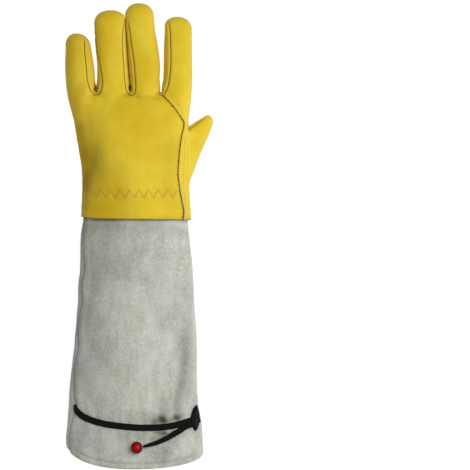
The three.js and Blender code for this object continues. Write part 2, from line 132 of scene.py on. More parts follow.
def makeGrainLeather(look):
    material, add = newMaterial("dyed_grain_cowhide")
    inMm = add("VectorMath", {0: add("TexCoord", output="Object"), 1: toMm}, operation="MULTIPLY")
    cloud = add("TexNoise", {"Vector": inMm, "Scale": 1 / look["cloud"], "Detail": 3, "Roughness": 0.55})
    speck = add("TexNoise", {"Vector": inMm, "Scale": 1 / look["speck"], "Detail": 2, "Roughness": 0.6})
    mottle = add("Math", {0: speck, 1: 0.22}, operation="MULTIPLY")
    shade = add("Math", {0: cloud, 1: mottle}, operation="ADD")
    skin = add("ValToRGB", {"Fac": shade}, [(0.45, look["deep"]), (0.75, look["light"])])
    # the mesh carries the marks, and in mm the distance to the nearest seam (seam) and to the lapped back seam
    # (lap), which is positive on the strip
    paintedShade, paintedBroadShade, paintedSideLight, seam, lap = (
        add("Attribute", output="Fac", attribute_name=mark) for mark in ("paintedShade", "paintedBroadShade", "paintedSideLight", "seam", "lap")
    )
    ragged = add("TexNoise", {"Vector": inMm, "Scale": 1 / look["ragged"], "Detail": 3})
    ragged = add("MapRange", {"Value": ragged, "From Min": 0.3, "From Max": 0.7, "To Min": -0.7, "To Max": 0.7})
    seamPart = add("MapRange", {"Value": seam, "From Max": 4})
    # painted shade along the seam grooves, and in the gap on the back panel beside the lapped back seam
    paintedSeamShade = add("ValToRGB", {"Fac": seamPart}, [(0, 0.95), (0.1, 0.55), (0.19, 0.13), (0.5, 0)])
    roughLap = add("Math", {0: lap, 1: ragged}, operation="ADD")
    lapPart = add("MapRange", {"Value": roughLap, "From Min": -5, "From Max": 0})
    paintedLapShade = add("ValToRGB", {"Fac": lapPart}, [(0, 0), (0.55, 0.12), (0.7, 0.8), (1, 0.9)])
    onBack = add("Math", {0: lap, 1: 0}, operation="LESS_THAN")
    paintedLapShade = add("Math", {0: paintedLapShade, 1: onBack}, operation="MULTIPLY")
    dark = add("Math", {0: paintedSeamShade, 1: paintedLapShade}, operation="MAXIMUM")
    dark = add("Math", {0: dark, 1: paintedShade}, operation="MAXIMUM")
    # painted highlight beside each seam, painted broad shade over the flank and above the hem, painted light on
    # sides that face the key light, and painted shade in seams, creases and crevices
    puff = add("ValToRGB", {"Fac": seamPart}, [(0.16, 0), (0.32, 0.4), (0.45, 0.22), (0.7, 0)])
    for share, tint in ((puff, "paintedSeamHighlight"), (paintedBroadShade, "paintedBroadShade"), (paintedSideLight, "paintedSideLight"), (dark, "paintedShade")):
        skin = add("Mix", {"Factor": share, 6: skin, 7: look[tint]}, data_type="RGBA")
    # the strip's cut edge shows the hide's undyed middle, greyer where it runs down over the suede
    height = add("SeparateXYZ", {"Vector": inMm}, output="Y")
    lower = add("MapRange", {"Value": height, "From Min": 52, "From Max": 36})
    raw = add("Mix", {"Factor": lower, 6: look["raw"], 7: look["rawLow"]}, data_type="RGBA")
    edgeEnd = add("Math", {0: roughLap, 1: 0.5 + look["cutEdge"]}, operation="LESS_THAN")
    onStrip = add("Math", {0: lap, 1: 0}, operation="GREATER_THAN")
    isRaw = add("Math", {0: edgeEnd, 1: onStrip}, operation="MULTIPLY")
    skin = add("Mix", {"Factor": isRaw, 6: skin, 7: raw}, data_type="RGBA")
    pebble = add("TexVoronoi", {"Vector": inMm, "Scale": 1 / look["pebble"], "Randomness": 1}, feature="SMOOTH_F1")
    wrinkle = add("TexNoise", {"Vector": inMm, "Scale": 1 / look["wrinkle"], "Detail": 4})
    fine = add("Bump", {"Height": pebble, "Strength": 0.2, "Distance": 0.0002})
    broad = add("Bump", {"Height": wrinkle, "Normal": fine, "Strength": 0.25, "Distance": 0.0006})
    gloss = add("MapRange", {"Value": speck, "To Min": 0.56, "To Max": 0.72})
    # the waxy finish pales a little where the skin turns away
    return finishMaterial(material, {
        "Base Color": skin, "Normal": broad, "Roughness": gloss, "IOR": 1.48, "Specular IOR Level": 0.18,
        "Sheen Weight": 0.06, "Sheen Roughness": 0.45, "Sheen Tint": look["waxy"],
    })


# The flesh side and cut edge of the same hide: undyed, fibrous, cream-grey and dead matt
fleshLook = {"light": "#D9D2B4", "dark": "#A8A080", "fibre": 0.7}


def makeFleshSide(look):
    material, add = newMaterial("raw_flesh_side_and_cut_edge")
    inMm = add("VectorMath", {0: add("TexCoord", output="Object"), 1: toMm}, operation="MULTIPLY")
    fibre = add("TexNoise", {"Vector": inMm, "Scale": 1 / look["fibre"], "Detail": 4, "Roughness": 0.7})
    tone = add("ValToRGB", {"Fac": fibre}, [(0.3, look["dark"]), (0.7, look["light"])])
    nap = add("Bump", {"Height": fibre, "Strength": 0.6, "Distance": 0.0004})
    return finishMaterial(material, {"Base Color": tone, "Normal": nap, "Roughness": 0.95})


# Split cowhide with both faces napped: grey with olive and blue-grey clouds where the pile lies another way,
# short fibre flecks, no gloss, and a soft sheen at grazing angles
suedeLook = {
    "low": "#8E9086", "middle": "#BCBDB3", "high": "#DEDFD6", "olive": "#B9BA9D", "blue": "#C2C5C8",
    # two of these colours are painted: shade in the folds, and light on some patches
    "paintedShade": "#45462F", "paintedLight": "#D9DAD0", "cloud": 44, "stain": 18, "patch": 13, "fleck": 1.5, "nap": 0.8,
}


def makeSuede(look):
    material, add = newMaterial("napped_split_cowhide")
    inMm = add("VectorMath", {0: add("TexCoord", output="Object"), 1: toMm}, operation="MULTIPLY")
    # the pile is brushed along the arm, so each pattern is drawn out that way
    brushed = add("VectorMath", {0: inMm, 1: (1, 0.5, 1)}, operation="MULTIPLY")
    cloud = add("TexNoise", {"Vector": brushed, "Scale": 1 / look["cloud"], "Detail": 2})
    patch = add("TexNoise", {"Vector": brushed, "Scale": 1 / look["patch"], "Detail": 4, "Roughness": 0.6})
    fleck = add("TexNoise", {"Vector": brushed, "Scale": 1 / look["fleck"], "Detail": 3, "Roughness": 0.7})
    stain = add("TexNoise", {"Vector": brushed, "Scale": 1 / look["stain"], "Detail": 3})
    stain = add("MapRange", {"Value": stain, "From Min": 0.25, "From Max": 0.75})
    tint = add("Mix", {"Factor": stain, 6: look["olive"], 7: look["blue"]}, data_type="RGBA")
    mixed = add("Math", {0: patch, 1: 0.38}, operation="MULTIPLY")
    mixed = add("Math", {0: fleck, 1: 0.42, 2: mixed}, operation="MULTIPLY_ADD")
    mixed = add("Math", {0: cloud, 1: 0.18, 2: mixed}, operation="MULTIPLY_ADD")
    pile = add("ValToRGB", {"Fac": mixed}, [(0.38, look["low"]), (0.49, look["middle"]), (0.6, look["high"])])
    skin = add("Mix", {"Factor": 0.6, 6: tint, 7: pile}, data_type="RGBA")
    # painted light on some patches, and painted shade in the folds and in the seam and hem grooves
    for mark in ("paintedLight", "paintedShade"):
        share = add("Attribute", output="Fac", attribute_name=mark)
        skin = add("Mix", {"Factor": share, 6: skin, 7: look[mark]}, data_type="RGBA")
    nap = add("TexNoise", {"Vector": inMm, "Scale": 1 / look["nap"], "Detail": 3, "Roughness": 0.7})
    fine = add("Bump", {"Height": nap, "Strength": 0.5, "Distance": 0.0005})
    broad = add("Bump", {"Height": patch, "Normal": fine, "Strength": 0.5, "Distance": 0.0012})
    return finishMaterial(material, {
        "Base Color": skin, "Normal": broad, "Roughness": 0.95, "Specular IOR Level": 0.2,
        "Sheen Weight": 0.25, "Sheen Roughness": 0.6,
    })


# Woven polyester elastic: covered rubber cores make ribs along it, and the covering thread shows as fine
# cross ticks. The UV map runs in mm, U along the strap and V across it.
elasticLook = {"dark": "#020202", "thread": "#1A1A18", "rib": 0.9, "tick": 0.8}


def makeElastic(look):
    material, add = newMaterial("woven_black_elastic")
    uv = add("TexCoord", output="UV")

    def wave(way, pitch, curve):
        place = add("SeparateXYZ", {"Vector": uv}, output=way)
        turns = add("Math", {0: place, 1: 2 * math.pi / pitch}, operation="MULTIPLY")
        return add("Math", {0: turns}, operation=curve)

    ticks = add("Math", {0: wave("X", look["tick"], "SINE"), 1: 0.3}, operation="MULTIPLY")
    weave = add("Math", {0: wave("Y", look["rib"], "COSINE"), 1: ticks}, operation="ADD")
    height = add("MapRange", {"Value": weave, "From Min": -1.3, "From Max": 1.3})
    tone = add("ValToRGB", {"Fac": height}, [(0.2, look["dark"]), (0.9, look["thread"])])
    bump = add("Bump", {"Height": height, "Strength": 0.8, "Distance": 0.00025})
    return finishMaterial(
        material, {"Base Color": tone, "Normal": bump, "Roughness": 0.85, "Specular IOR Level": 0.15}
    )


# Moulded nylon, satin black: faint flow clouds in the gloss, so many to the metre
nylonLook = {"dark": "#020202", "light": "#0A0A0A", "flow": 900}


def makeNylon(look):
    material, add = newMaterial("moulded_black_nylon")
    flow = add("TexNoise", {"Vector": add("TexCoord", output="Object"), "Scale": look["flow"], "Detail": 3})
    tone = add("ValToRGB", {"Fac": flow}, [(0.35, look["dark"]), (0.7, look["light"])])
    gloss = add("MapRange", {"Value": flow, "To Min": 0.4, "To Max": 0.55})
    return finishMaterial(
        material, {"Base Color": tone, "Roughness": gloss, "IOR": 1.53, "Specular IOR Level": 0.14}
    )


# Polished acrylic bead, red in the mass, with painted shade darkening its upright sides, and a clear highlight
acrylicLook = {"dark": "#A60212", "light": "#BA0818", "rim": "#5A0004", "swirl": 260}


def makeAcrylic(look):
    material, add = newMaterial("polished_red_acrylic")
    swirl = add("TexNoise", {"Vector": add("TexCoord", output="Object"), "Scale": look["swirl"], "Detail": 2})
    body = add("ValToRGB", {"Fac": swirl}, [(0.35, look["dark"]), (0.7, look["light"])])
    # share of painted shade, which mixes in the dark red
    rim = add("Attribute", output="Fac", attribute_name="rim")
    tone = add("Mix", {"Factor": rim, 6: body, 7: look["rim"]}, data_type="RGBA")
    return finishMaterial(
        material, {"Base Color": tone, "Roughness": 0.2, "IOR": 1.49, "Specular IOR Level": 0.12}
    )


# Spun polyester sewing thread: twisted plies give a fine slanting rib
def makeThread(name, light, dark):
    material, add = newMaterial(name)
    ply = add(
        "TexWave", {"Vector": add("TexCoord", output="Object"), "Scale": 700, "Distortion": 2}, output="Fac",
        bands_direction="DIAGONAL",
    )
    tone = add("ValToRGB", {"Fac": ply}, [(0.2, dark), (0.8, light)])
    return finishMaterial(material, {"Base Color": tone, "Roughness": 0.8})


grainLeather = makeGrainLeather(grainLook)
fleshSide = makeFleshSide(fleshLook)
suede = makeSuede(suedeLook)
elastic = makeElastic(elasticLook)
nylon = makeNylon(nylonLook)
acrylic = makeAcrylic(acrylicLook)
goldThread = makeThread("gold_polyester_thread", "#B09024", "#8A6C12")
darkThread = makeThread("bronze_polyester_thread", "#7A5C10", "#4A3608")
tanThread = makeThread("tan_polyester_thread", "#B9B08A", "#A39A78")


# White paper sweep, which a view from below looks through
def makeFloor(size):
    material, add = newMaterial("white_paper_sweep")
    finishMaterial(material, {
        "Base Color": (0.1, 0.1, 0.1, 1), "Roughness": 0.9, "Specular IOR Level": 0.1,
        "Emission Color": (1, 1, 1, 1), "Emission Strength": 0.96,
    })
    nodes = material.node_tree.nodes
    behind = add("NewGeometry", output="Backfacing")
    sweep = add("MixShader", {0: behind, 1: nodes["Principled BSDF"].outputs[0], 2: add("BsdfTransparent")})
    setInputs(nodes["Material Output"], {"Surface": sweep})
    shape = bmesh.new()
    bmesh.ops.create_grid(shape, x_segments=1, y_segments=1, size=size)
    mesh = bpy.data.meshes.new("floor")
    shape.to_mesh(mesh)
    shape.free()
    mesh.materials.append(material)
    return addObject("floor", mesh)


floorObject = makeFloor(8)
print("materials made")


# Smooth curve through the rows of a table, read at places along its first column
def smoothRows(rows, places):
    rows = np.array(rows, float)
    at, values = rows[:, 0], rows[:, 1:]
    slopes = np.gradient(values, at, axis=0)
    low = np.clip(np.searchsorted(at, places, side="right") - 1, 0, len(at) - 2)
    span = (at[low + 1] - at[low])[:, None]
    t = (np.asarray(places)[:, None] - at[low][:, None]) / span
    a, b = values[low], values[low + 1]
    sa, sb = slopes[low] * span, slopes[low + 1] * span
    ends = a * (2 * t**3 - 3 * t**2 + 1) + b * (3 * t**2 - 2 * t**3)
    return ends + sa * (t**3 - 2 * t**2 + t) + sb * (t**3 - t**2)


def walkLengths(points):
    return np.concatenate([[0], np.cumsum(np.linalg.norm(np.diff(points, axis=0), axis=1))])


# A line through points, smoothed and walked in even steps
def smoothLine(points, step):
    at = walkLengths(np.array(points, float))
    count = max(2, int(round(at[-1] / step)) + 1)
    return smoothRows(np.column_stack([at, points]), np.linspace(0, at[-1], count))


# Distance in plan from points to a line
def planDistance(points, line):
    nearest = np.full(len(points), 1e9)
    for a, b in zip(line[:-1], line[1:]):
        along = b - a
        t = np.clip(((points[:, :2] - a) @ along) / (along @ along), 0, 1)
        nearest = np.minimum(nearest, np.linalg.norm(points[:, :2] - a - t[:, None] * along, axis=1))
    return nearest


# Distance in plan to a closed outline, positive inside it
def planInside(points, outline):
    closed = np.vstack([outline, outline[:1]])
    x, y = points[:, 0], points[:, 1]
    inside = np.zeros(len(points), bool)
    for (ax, ay), (bx, by) in zip(closed[:-1], closed[1:]):
        if ay != by:
            inside ^= ((ay > y) != (by > y)) & (x < (bx - ax) * (y - ay) / (by - ay) + ax)
    return np.where(inside, 1, -1) * planDistance(points, closed)


def ease(values, low, high):
    t = np.clip((values - low) / (high - low), 0, 1)
    return t * t * (3 - 2 * t)


# A rounded hump over a line: 1 on it, and gone at about twice its half width
def hump(away, width):
    return np.exp(-((away / width) ** 2))


# Sections are a little squarer than an ellipse, and on hand and gauntlet squarer still towards the thumb
sectionRound = 2.3
upperRounds = (1.85, 2.9)


# Points round one section, pressed flat where it would sink into the floor. rounds shape its upper left and right.
def sectionPoints(y, row, angles, rounds=(sectionRound, sectionRound)):
    left, right, bottom, waist, top, lean = row
    across, up = np.cos(angles), np.sin(angles)
    power = 2 / np.where(up < 0, sectionRound, rounds[0] + (rounds[1] - rounds[0]) * ease(across, -0.5, 0.5))
    across = np.sign(across) * np.abs(across) ** power
    up = np.sign(up) * np.abs(up) ** power
    reach = np.where(up > 0, top - waist, waist - bottom)
    z = waist + reach * up + lean * across / 2
    x = (left + right) / 2 + (right - left) / 2 * across
    return np.column_stack([x, np.full(len(angles), float(y)), np.maximum(z, 0.05)])


# Sections of a table, about 2.5 mm apart
def tableRings(rows, angles, rounds=(sectionRound, sectionRound)):
    first, last = rows[0][0], rows[-1][0]
    places = np.linspace(first, last, int((last - first) / 2.5) + 2)
    return [sectionPoints(y, row, angles, rounds) for y, row in zip(places, smoothRows(rows, places))]


# Extrudes edges in place and returns the new vertices and edges
def pullEdges(shape, edges):
    pulled = bmesh.ops.extrude_edge_only(shape, edges=edges)["geom"]
    verts = [g for g in pulled if isinstance(g, bmesh.types.BMVert)]
    fresh = set(verts)
    return verts, [g for g in pulled if isinstance(g, bmesh.types.BMEdge) and fresh.issuperset(g.verts)]


def edgesOf(verts):
    return list({edge for vert in verts for edge in vert.link_edges})


# Skins rings of points by pulling a circle's edge from ring to ring. Rings are in mm, the mesh in metres.
def skinRings(shape, rings, capped=True):
    layers = shape.verts.layers.int
    side, ringNumber = (layers.get(name) or layers.new(name) for name in ("side", "ring"))
    verts = bmesh.ops.create_circle(shape, segments=len(rings[0]), radius=1)["verts"]
    for i, vert in enumerate(verts):
        vert[side] = i
    firstEdges = edges = edgesOf(verts)
    for number, ring in enumerate(rings):
        if number:
            verts, edges = pullEdges(shape, edges)
        for vert in verts:
            vert[ringNumber] = number
            vert.co = Vector(ring[vert[side]]) * mm
    for ends in (firstEdges, edges) if capped else ():
        bmesh.ops.holes_fill(shape, edges=ends, sides=0)
    return shape


# Makes an object of a shape, smooth, with its materials, riding on the glove
def finishPiece(name, shape, materials, replaced=(), faceOut=True):
    if faceOut:
        bmesh.ops.recalc_face_normals(shape, faces=shape.faces)
    mesh = bpy.data.meshes.new(name)
    shape.to_mesh(mesh)
    shape.free()
    for material in materials:
        mesh.materials.append(material)
    mesh.polygons.foreach_set("use_smooth", [True] * len(mesh.polygons))
    piece = addObject(name, mesh)
    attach(piece, "root")
    if replaced:
        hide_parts(*replaced)
    return piece


def addWall(piece, thickness, material=0):
    wall = piece.modifiers.new("wall", "SOLIDIFY")
    wall.thickness = thickness * mm
    wall.offset = -1
    wall.material_offset = material


# A mesh's points in mm, or its normals
def meshVectors(mesh, what):
    vectors = np.empty(len(mesh.vertices) * 3, np.float32)
    mesh.vertices.foreach_get(what, vectors)
    return vectors.reshape(-1, 3).astype(float) / (mm if what == "co" else 1)


def setPoints(mesh, points):
    mesh.vertices.foreach_set("co", (points * mm).astype(np.float32).ravel())
    mesh.update()


def setAttribute(mesh, name, values):
    mesh.attributes.new(name, "FLOAT", "POINT").data.foreach_set("value", np.asarray(values, np.float32))


def treeOf(pieces):
    verts, faces = [], []
    for piece in pieces:
        start = len(verts)
        verts += [v.co.copy() for v in piece.data.vertices]
        faces += [[start + i for i in p.vertices] for p in piece.data.polygons]
    return BVHTree.FromPolygons(verts, faces)


# Slow swell of a soft skin, from -1 to 1, with its wave length in mm
def swell(points, wave, seed):
    return np.array([noise.noise(Vector(p) / wave + Vector((seed, 0, 0))) for p in points])


# Gauntlet: a sleeve of split suede, folded at the thumb edge and seamed near the little finger edge
gauntletPlan = {
    # y, left, right, bottom, waist, top, lean
    "rows": [
        (-200, -72, 64, -6, 21.5, 47.4, 0),
        (-187, -71.2, 62.8, -6, 21, 46.5, 0),
        (-172, -70.4, 60, -6, 21, 47.5, 0),
        (-148, -68.5, 58.2, -6, 20.5, 47, 0),
        (-124, -66, 58, -6, 20, 46, 0),
        (-100, -63.6, 57.4, -6, 20, 45, 0),
        (-66, -61.6, 55.4, -5.5, 19.5, 43.5, 0),
        (-30, -59, 53.4, -5, 19, 42, 0),
        (6, -57, 50, -1, 18, 39.4, 0),
        (16, -55.3, 49.3, 1.9, 18, 37.3, 0),
        (28, -54.9, 48.9, 2.1, 17.6, 36.9, 1.7),
    ],
    "mouthRow": (-71.8, 64.2, -6, 22, 48.2, 0),
    "mouth": {"leftY": -206, "rightY": -215, "lowestY": -232.6, "round": 2.2},
    "sides": 236,
    "wall": 1.8,
    "sideSeam": [
        (-53, 20), (-55.3, 0), (-55.3, -20), (-54.8, -31.6), (-55, -38.6), (-56.7, -43), (-57.7, -55),
        (-56.9, -65),
        (-58.6, -72), (-60.6, -82), (-61.5, -96), (-60.6, -110), (-62.5, -121), (-64, -128), (-64.4, -142),
        (-64.6, -163), (-63.7, -168), (-65.5, -180), (-66.8, -186), (-68.5, -194), (-69.3, -202), (-69.3, -212),
    ],
    # line, depth, half width, and how much painted shade it takes, or painted light below 0
    "folds": [
        (
            [(46, -54), (45.6, -76), (46, -98), (48, -120), (48, -134), (45, -148), (41, -160), (36, -170)],
            2.0, 8, 0.24,
        ),
        ([(46, -104), (46, -128), (43, -144), (40, -156)], 0.8, 5, 0.2),
        ([(-56, 4), (-60, -90), (-62, -150)], 0, 15, 0.22),
        ([(-42, -80), (-44, -130)], 0, 16, 0.07),
        ([(-28, 6), (-30, -22)], 0, 18, 0.2),
        ([(0, 8), (-4, -16)], 0, 12, 0.1),
        ([(22.4, -181.8), (24.4, -183.2), (26, -185)], 0.9, 3.3, 0.5),
        ([(14, -186), (24, -184.6)], 0.4, 3.8, 0.42),
        ([(14.6, -179), (16, -186)], 0.5, 2.4, 0.16),
        ([(37.4, -180.8), (40.2, -181.6)], 0.8, 3.0, 0.46),
        ([(32.6, -184), (37.4, -182.6)], 0.3, 3.0, 0.38),
        ([(-30, -180), (0, -184), (40, -178)], 0, 9, 0.1),
        ([(0, -198), (40, -195)], 0, 7, 0.16),
        ([(22, -163), (24, -174), (24.6, -182)], 0.7, 3.6, 0.2),
        ([(37.6, -165), (39.6, -180)], 0.6, 3.6, 0.18),
        ([(30.4, -168), (31.4, -178), (31, -184)], -0.6, 2.6, 0),
        ([(5, -178), (5.6, -187)], 0.5, 2.4, 0.14),
        ([(-8, -180), (-8, -187)], 0.4, 2.2, 0.12),
        ([(-26, -178), (-26, -185)], 0.4, 2.2, 0.12),
        ([(17, -195.6), (26, -196.4)], 0.3, 2.0, 0.5),
        ([(27, -197), (20, -201), (12, -203)], 0.4, 2.4, 0.28),
        ([(27, -217), (25, -226)], 0.9, 5, 0.26),
        ([(8, -192), (-4, -206)], 0.4, 3, 0.08),
        ([(36, -206), (28, -214), (18, -220)], 0.4, 6, 0.12),
        ([(-40, -30), (-42, -60), (-38, -90)], 0.5, 8, 0.05),
        ([(-20, -20), (-24, -48)], 0.4, 7, 0.06),
        ([(-60, 19.6), (-53, 17.6), (-24, 16.2)], 0.2, 1.1, 0.68),
        ([(-22, 16.1), (30, 15.4), (47, 14.8), (54, 15.4)], 0.2, 0.9, 0.5),
        ([(26, 12.4), (46, 11.6)], 0, 6, -0.6),
        ([(10, 13), (22, 11), (40, 5)], 0.3, 7, 0.14),
        ([(-50, 10), (-20, 12)], 0.2, 6, 0.1),
        ([(-34, -110), (-32, -124)], 0, 9, 0.12),
        ([(-20, -197), (4, -199)], 0, 6, 0.12),
        ([(30, -204), (24, -208)], 0, 8, 0.16),
        ([(-10, -60), (-8, -76)], 0, 12, -0.3),
        ([(14, -56), (16, -72)], 0, 9, -0.3),
        ([(10, -128), (12, -166)], 0, 13, -0.26),
        ([(-24, -205), (-10, -214)], 0, 10, -0.36),
        ([(50, -216), (54, -210)], 0, 8, -0.2),
    ],
    "bandDepth": 1.2,
    "gather": 9.5,
}


def mouthY(x):
    mouth = gauntletPlan["mouth"]
    left, right = gauntletPlan["mouthRow"][:2]
    share = np.clip((x - left) / (right - left), 0, 1)
    corner = mouth["leftY"] + (mouth["rightY"] - mouth["leftY"]) * share
    bulge = (1 - np.abs(2 * share - 1) ** mouth["round"]) ** (1 / mouth["round"])
    return corner + (mouth["lowestY"] - corner) * bulge


# Angles round a section, closer together at the little finger edge, where the side seam lies
def gauntletAngles(sides):
    fine = np.linspace(0, 2 * math.pi, 4001)
    ring = sectionPoints(0, (-65, 58, -6, 20, 46, 0), fine)
    steps = np.linalg.norm(np.diff(ring, axis=0), axis=1)
    middle = (ring[1:] + ring[:-1]) / 2
    crowd = 1 + 2.2 * ((middle[:, 0] < -48) & (middle[:, 2] > 14))
    walked = np.concatenate([[0], np.cumsum(steps * crowd)])
    return np.interp(np.linspace(0, walked[-1], sides, endpoint=False), walked, fine)


strapPlan = {
    "band": [
        (-64, -168.6), (-62.8, -173.2), (-59.2, -177.6), (-47, -183.8), (-34, -187.5), (-20, -189.5),
        (-5, -191), (10, -191.3), (25, -190.8), (39, -188.2), (47.5, -185.6), (53.8, -183.6),
    ],
    "bandWidth": 6.5,
    "bandThick": 1.5,
    "bandLift": 0.35,
    # shares of the half width and of the thickness
    "bandSection": [
        (-1, 0.5), (-0.96, 0.85), (-0.85, 1), (-0.5, 1.06), (0, 1.08), (0.5, 1.06), (0.85, 1), (0.96, 0.85),
        (1, 0.5), (0.96, 0.15), (0.85, 0), (0, 0), (-0.85, 0), (-0.96, 0.15),
    ],
    # x, y, and the lift over the band at one end and to the bead's bore at the other
    "tail": [
        (53.6, -188.6, 2.2), (47, -190.8, 2), (40.8, -194.2, 0.8), (34.6, -198, 0), (28.5, -201.4, 0),
        (21, -205, 0), (13, -207.9, 1.2), (8, -209.2, 3), (3.9, -210.3, 4.2),
    ],
    "tailWidth": 5.6,
    "tailThick": 2.4,
    "tailLift": 0.6,
    # shares of the half width and of half the thickness
    "tailSection": [
        (-1, 0), (-0.93, 0.6), (-0.7, 0.95), (-0.35, 0.95), (-0.1, 0.62), (0, 0.45), (0.1, 0.62), (0.35, 0.95),
        (0.7, 0.95), (0.93, 0.6), (1, 0), (0.93, -0.6), (0.7, -0.9), (0, -0.9), (-0.7, -0.9), (-0.93, -0.6),
    ],
    # share of the way to the bead, and of the full width
    "tailTaper": [(0, 0.76), (0.14, 0.96), (0.5, 0.96), (0.7, 0.82), (0.84, 0.68), (0.93, 0.58), (1, 0.26)],
    "beadAt": (-2.1, -211.2),
    "beadWidth": 12.3,
    "beadLength": 10.8,
    "beadBore": 2.8,
    "beadSunk": 0.2,
    "paintedBeadShadeUpright": [0.14, 0.29],
    "lockAt": (56.2, -181.4),
    "lockUpright": 0.35,
    "eyelet": {"at": (-1.5, 0.2, 4.5), "radius": 1.6, "wire": 1.4},
    "lockParts": [
        {
            "outline": [
                (1.2, 13), (-2.5, 9.4), (-4.6, 4), (-5.3, 0.4), (-4.5, -5.6), (-1.4, -7.6), (2.4, -6.8), (5, -4.4),
                (4, 1.6), (3.2, 6),
            ],
            "ridgeX": 0.4,
            "levels": [(2.4, 1, 0), (1.0, 0.9, 0), (1.4, 0.84, 0.7)],
        },
        {
            "outline": [
                (-3.6, -4.6), (-3.3, -8.6), (-2.4, -11.4), (-0.9, -13.5), (1.5, -11.2), (2.7, -8), (3.4, -4.6),
                (0, -3.4),
            ],
            "ridgeX": -0.6,
            "levels": [(3.2, 1, 0), (1.4, 0.93, 0.6)],
        },
    ],
}


def makeGauntlet(plan):
    angles = gauntletAngles(plan["sides"])
    firstY, *firstRow = plan["rows"][0]
    start, atMouth = (sectionPoints(firstY, row, angles, upperRounds) for row in (firstRow, plan["mouthRow"]))
    rings = []
    for share in np.linspace(1, 0, 30, endpoint=False):
        ring = start + (atMouth - start) * share
        ring[:, 1] = firstY + (mouthY(ring[:, 0]) - firstY) * share
        rings.append(ring)
    places = np.concatenate([np.arange(firstY, -150, 1.1), np.arange(-150, 26, 2.1), [28]])
    for y, row in zip(places, smoothRows(plan["rows"], places)):
        rings.append(sectionPoints(y, row, angles, upperRounds))
    shape = skinRings(bmesh.new(), rings, capped=False)
    piece = finishPiece("gauntlet_suede", shape, [suede], ["gauntlet"])
    points, normals = (meshVectors(piece.data, what) for what in ("co", "normal"))
    x, y = points[:, 0], points[:, 1]
    upper = ease(normals[:, 2], -0.1, 0.25)
    out = 0.9 * swell(points, 55, 3.1) + 0.35 * swell(points, 21, 8.7)
    paintedShade, paintedLight = np.zeros((2, len(points)))

    # side seam: a groove, with a lip that the strap comes out from on its left and a low ridge on its right
    seam = smoothLine(plan["sideSeam"], 2)
    past = x - np.interp(y, seam[::-1, 1], seam[::-1, 0])
    nearLeft = (x < -44) & (points[:, 2] > 20)
    lip = 0.7 + 0.3 * np.sin(y / 9.0)
    depth = 0.7 - 0.4 * ease(y, -40, 0)
    out += np.where(nearLeft, 0.8 * hump(past - 3.4, 2.6) - depth * hump(past, 0.8), 0)
    out += np.where(nearLeft & (past < 0), lip * hump(past + 2.4, 1.6), 0)
    # painted shade in the side seam's groove
    paintedShade += np.where(nearLeft, (0.26 + 0.12 * depth) * hump(past, 0.7), 0)

    # the strap draws the suede in and gathers it
    fromBand = planDistance(points, smoothLine(strapPlan["band"], 3))
    out -= upper * plan["bandDepth"] * hump(fromBand, 5.5)
    gather = np.cos(x * 2 * math.pi / plan["gather"] + 1.2 * np.sin(x / 13))
    strength = 0.22 + 0.3 * ease(x, -10, 40)
    out += upper * strength * gather * hump(fromBand - 5, 8)
    # each fold sinks the suede and takes painted shade, or painted light where its dark is below 0
    for line, depth, width, dark in plan["folds"]:
        away = planDistance(points, smoothLine(line, 4))
        out -= upper * depth * hump(away, width)
        paintedShade += upper * max(dark, 0) * hump(away, 1.1 * width)
        paintedLight += upper * max(-dark, 0) * hump(away, width)

    # turned hem: a roll at the mouth and a sewn groove above it
    left, right = plan["mouthRow"][:2]
    rimX = np.linspace(left + 0.1, right - 0.1, 160)
    fromRim = planDistance(points, np.column_stack([rimX, mouthY(rimX)]))
    onFace = ease(x, -67, -58) * (1 - ease(x, 50, 59))
    out += onFace * 0.6 * hump(fromRim - 2.6, 2.0)
    out -= onFace * 0.6 * hump(fromRim - 5.6, 0.9)
    # painted shade in the sewn groove
    paintedShade += onFace * 0.18 * hump(fromRim - 5.6, 0.8)
    points += normals * out[:, None]
    points[:, 2] = np.maximum(points[:, 2], 0.05)
    setPoints(piece.data, points)
    setAttribute(piece.data, "paintedShade", np.clip(paintedShade, 0, 1))
    setAttribute(piece.data, "paintedLight", np.clip(paintedLight, 0, 1))
    addWall(piece, plan["wall"])
    return piece


gauntletPiece = makeGauntlet(gauntletPlan)
gauntletTree = treeOf([gauntletPiece])
print("gauntlet made", len(gauntletPiece.data.vertices))


# Where a plan point in mm lies on a surface seen from above or below, and the way it faces there
def dropOn(tree, x, y, fromBelow=False):
    start = Vector((x * mm, y * mm, -0.2 if fromBelow else 0.2))
    hit, normal, _, _ = tree.ray_cast(start, Vector((0, 0, 1 if fromBelow else -1)))
    if hit is None:
        hit, normal, _, _ = tree.find_nearest(Vector((x * mm, y * mm, 0.03)))
    return np.array(hit) / mm, np.array(normal)


def smoothed(values, times):
    for _ in range(times):
        values[1:-1] = (values[:-2] + 2 * values[1:-1] + values[2:]) / 4
    return values


# Points of a plan line dropped on the suede, and the way up at each, both evened out
def layOnSuede(line, times):
    dropped = zip(*(dropOn(gauntletTree, x, y) for x, y in line))
    points, ups = (smoothed(np.array(column), times) for column in dropped)
    return points, ups / np.linalg.norm(ups, axis=1)[:, None]


# The ways across and up at each point of a line
def framesAlong(points, ups):
    ahead = np.gradient(points, axis=0)
    ahead /= np.linalg.norm(ahead, axis=1)[:, None]
    across = np.cross(ahead, ups)
    across /= np.linalg.norm(across, axis=1)[:, None]
    return across, np.cross(across, ahead)


# Skins a strap along points. Its section has shares of the half width across and mm up, its UV map runs in mm.
def skinStrap(points, ups, widths, section, halfWidth):
    rings = [
        np.array([p + a * share * w + u * rise for share, rise in section])
        for p, a, u, w in zip(points, *framesAlong(points, ups), widths)
    ]
    shape = skinRings(bmesh.new(), rings)
    side, ringNumber = (shape.verts.layers.int[name] for name in ("side", "ring"))
    lengths = walkLengths(points)
    uv = shape.loops.layers.uv.new("UVMap")
    for loop in (loop for face in shape.faces for loop in face.loops):
        loop[uv].uv = (lengths[loop.vert[ringNumber]], section[loop.vert[side]][0] * halfWidth)
    return shape


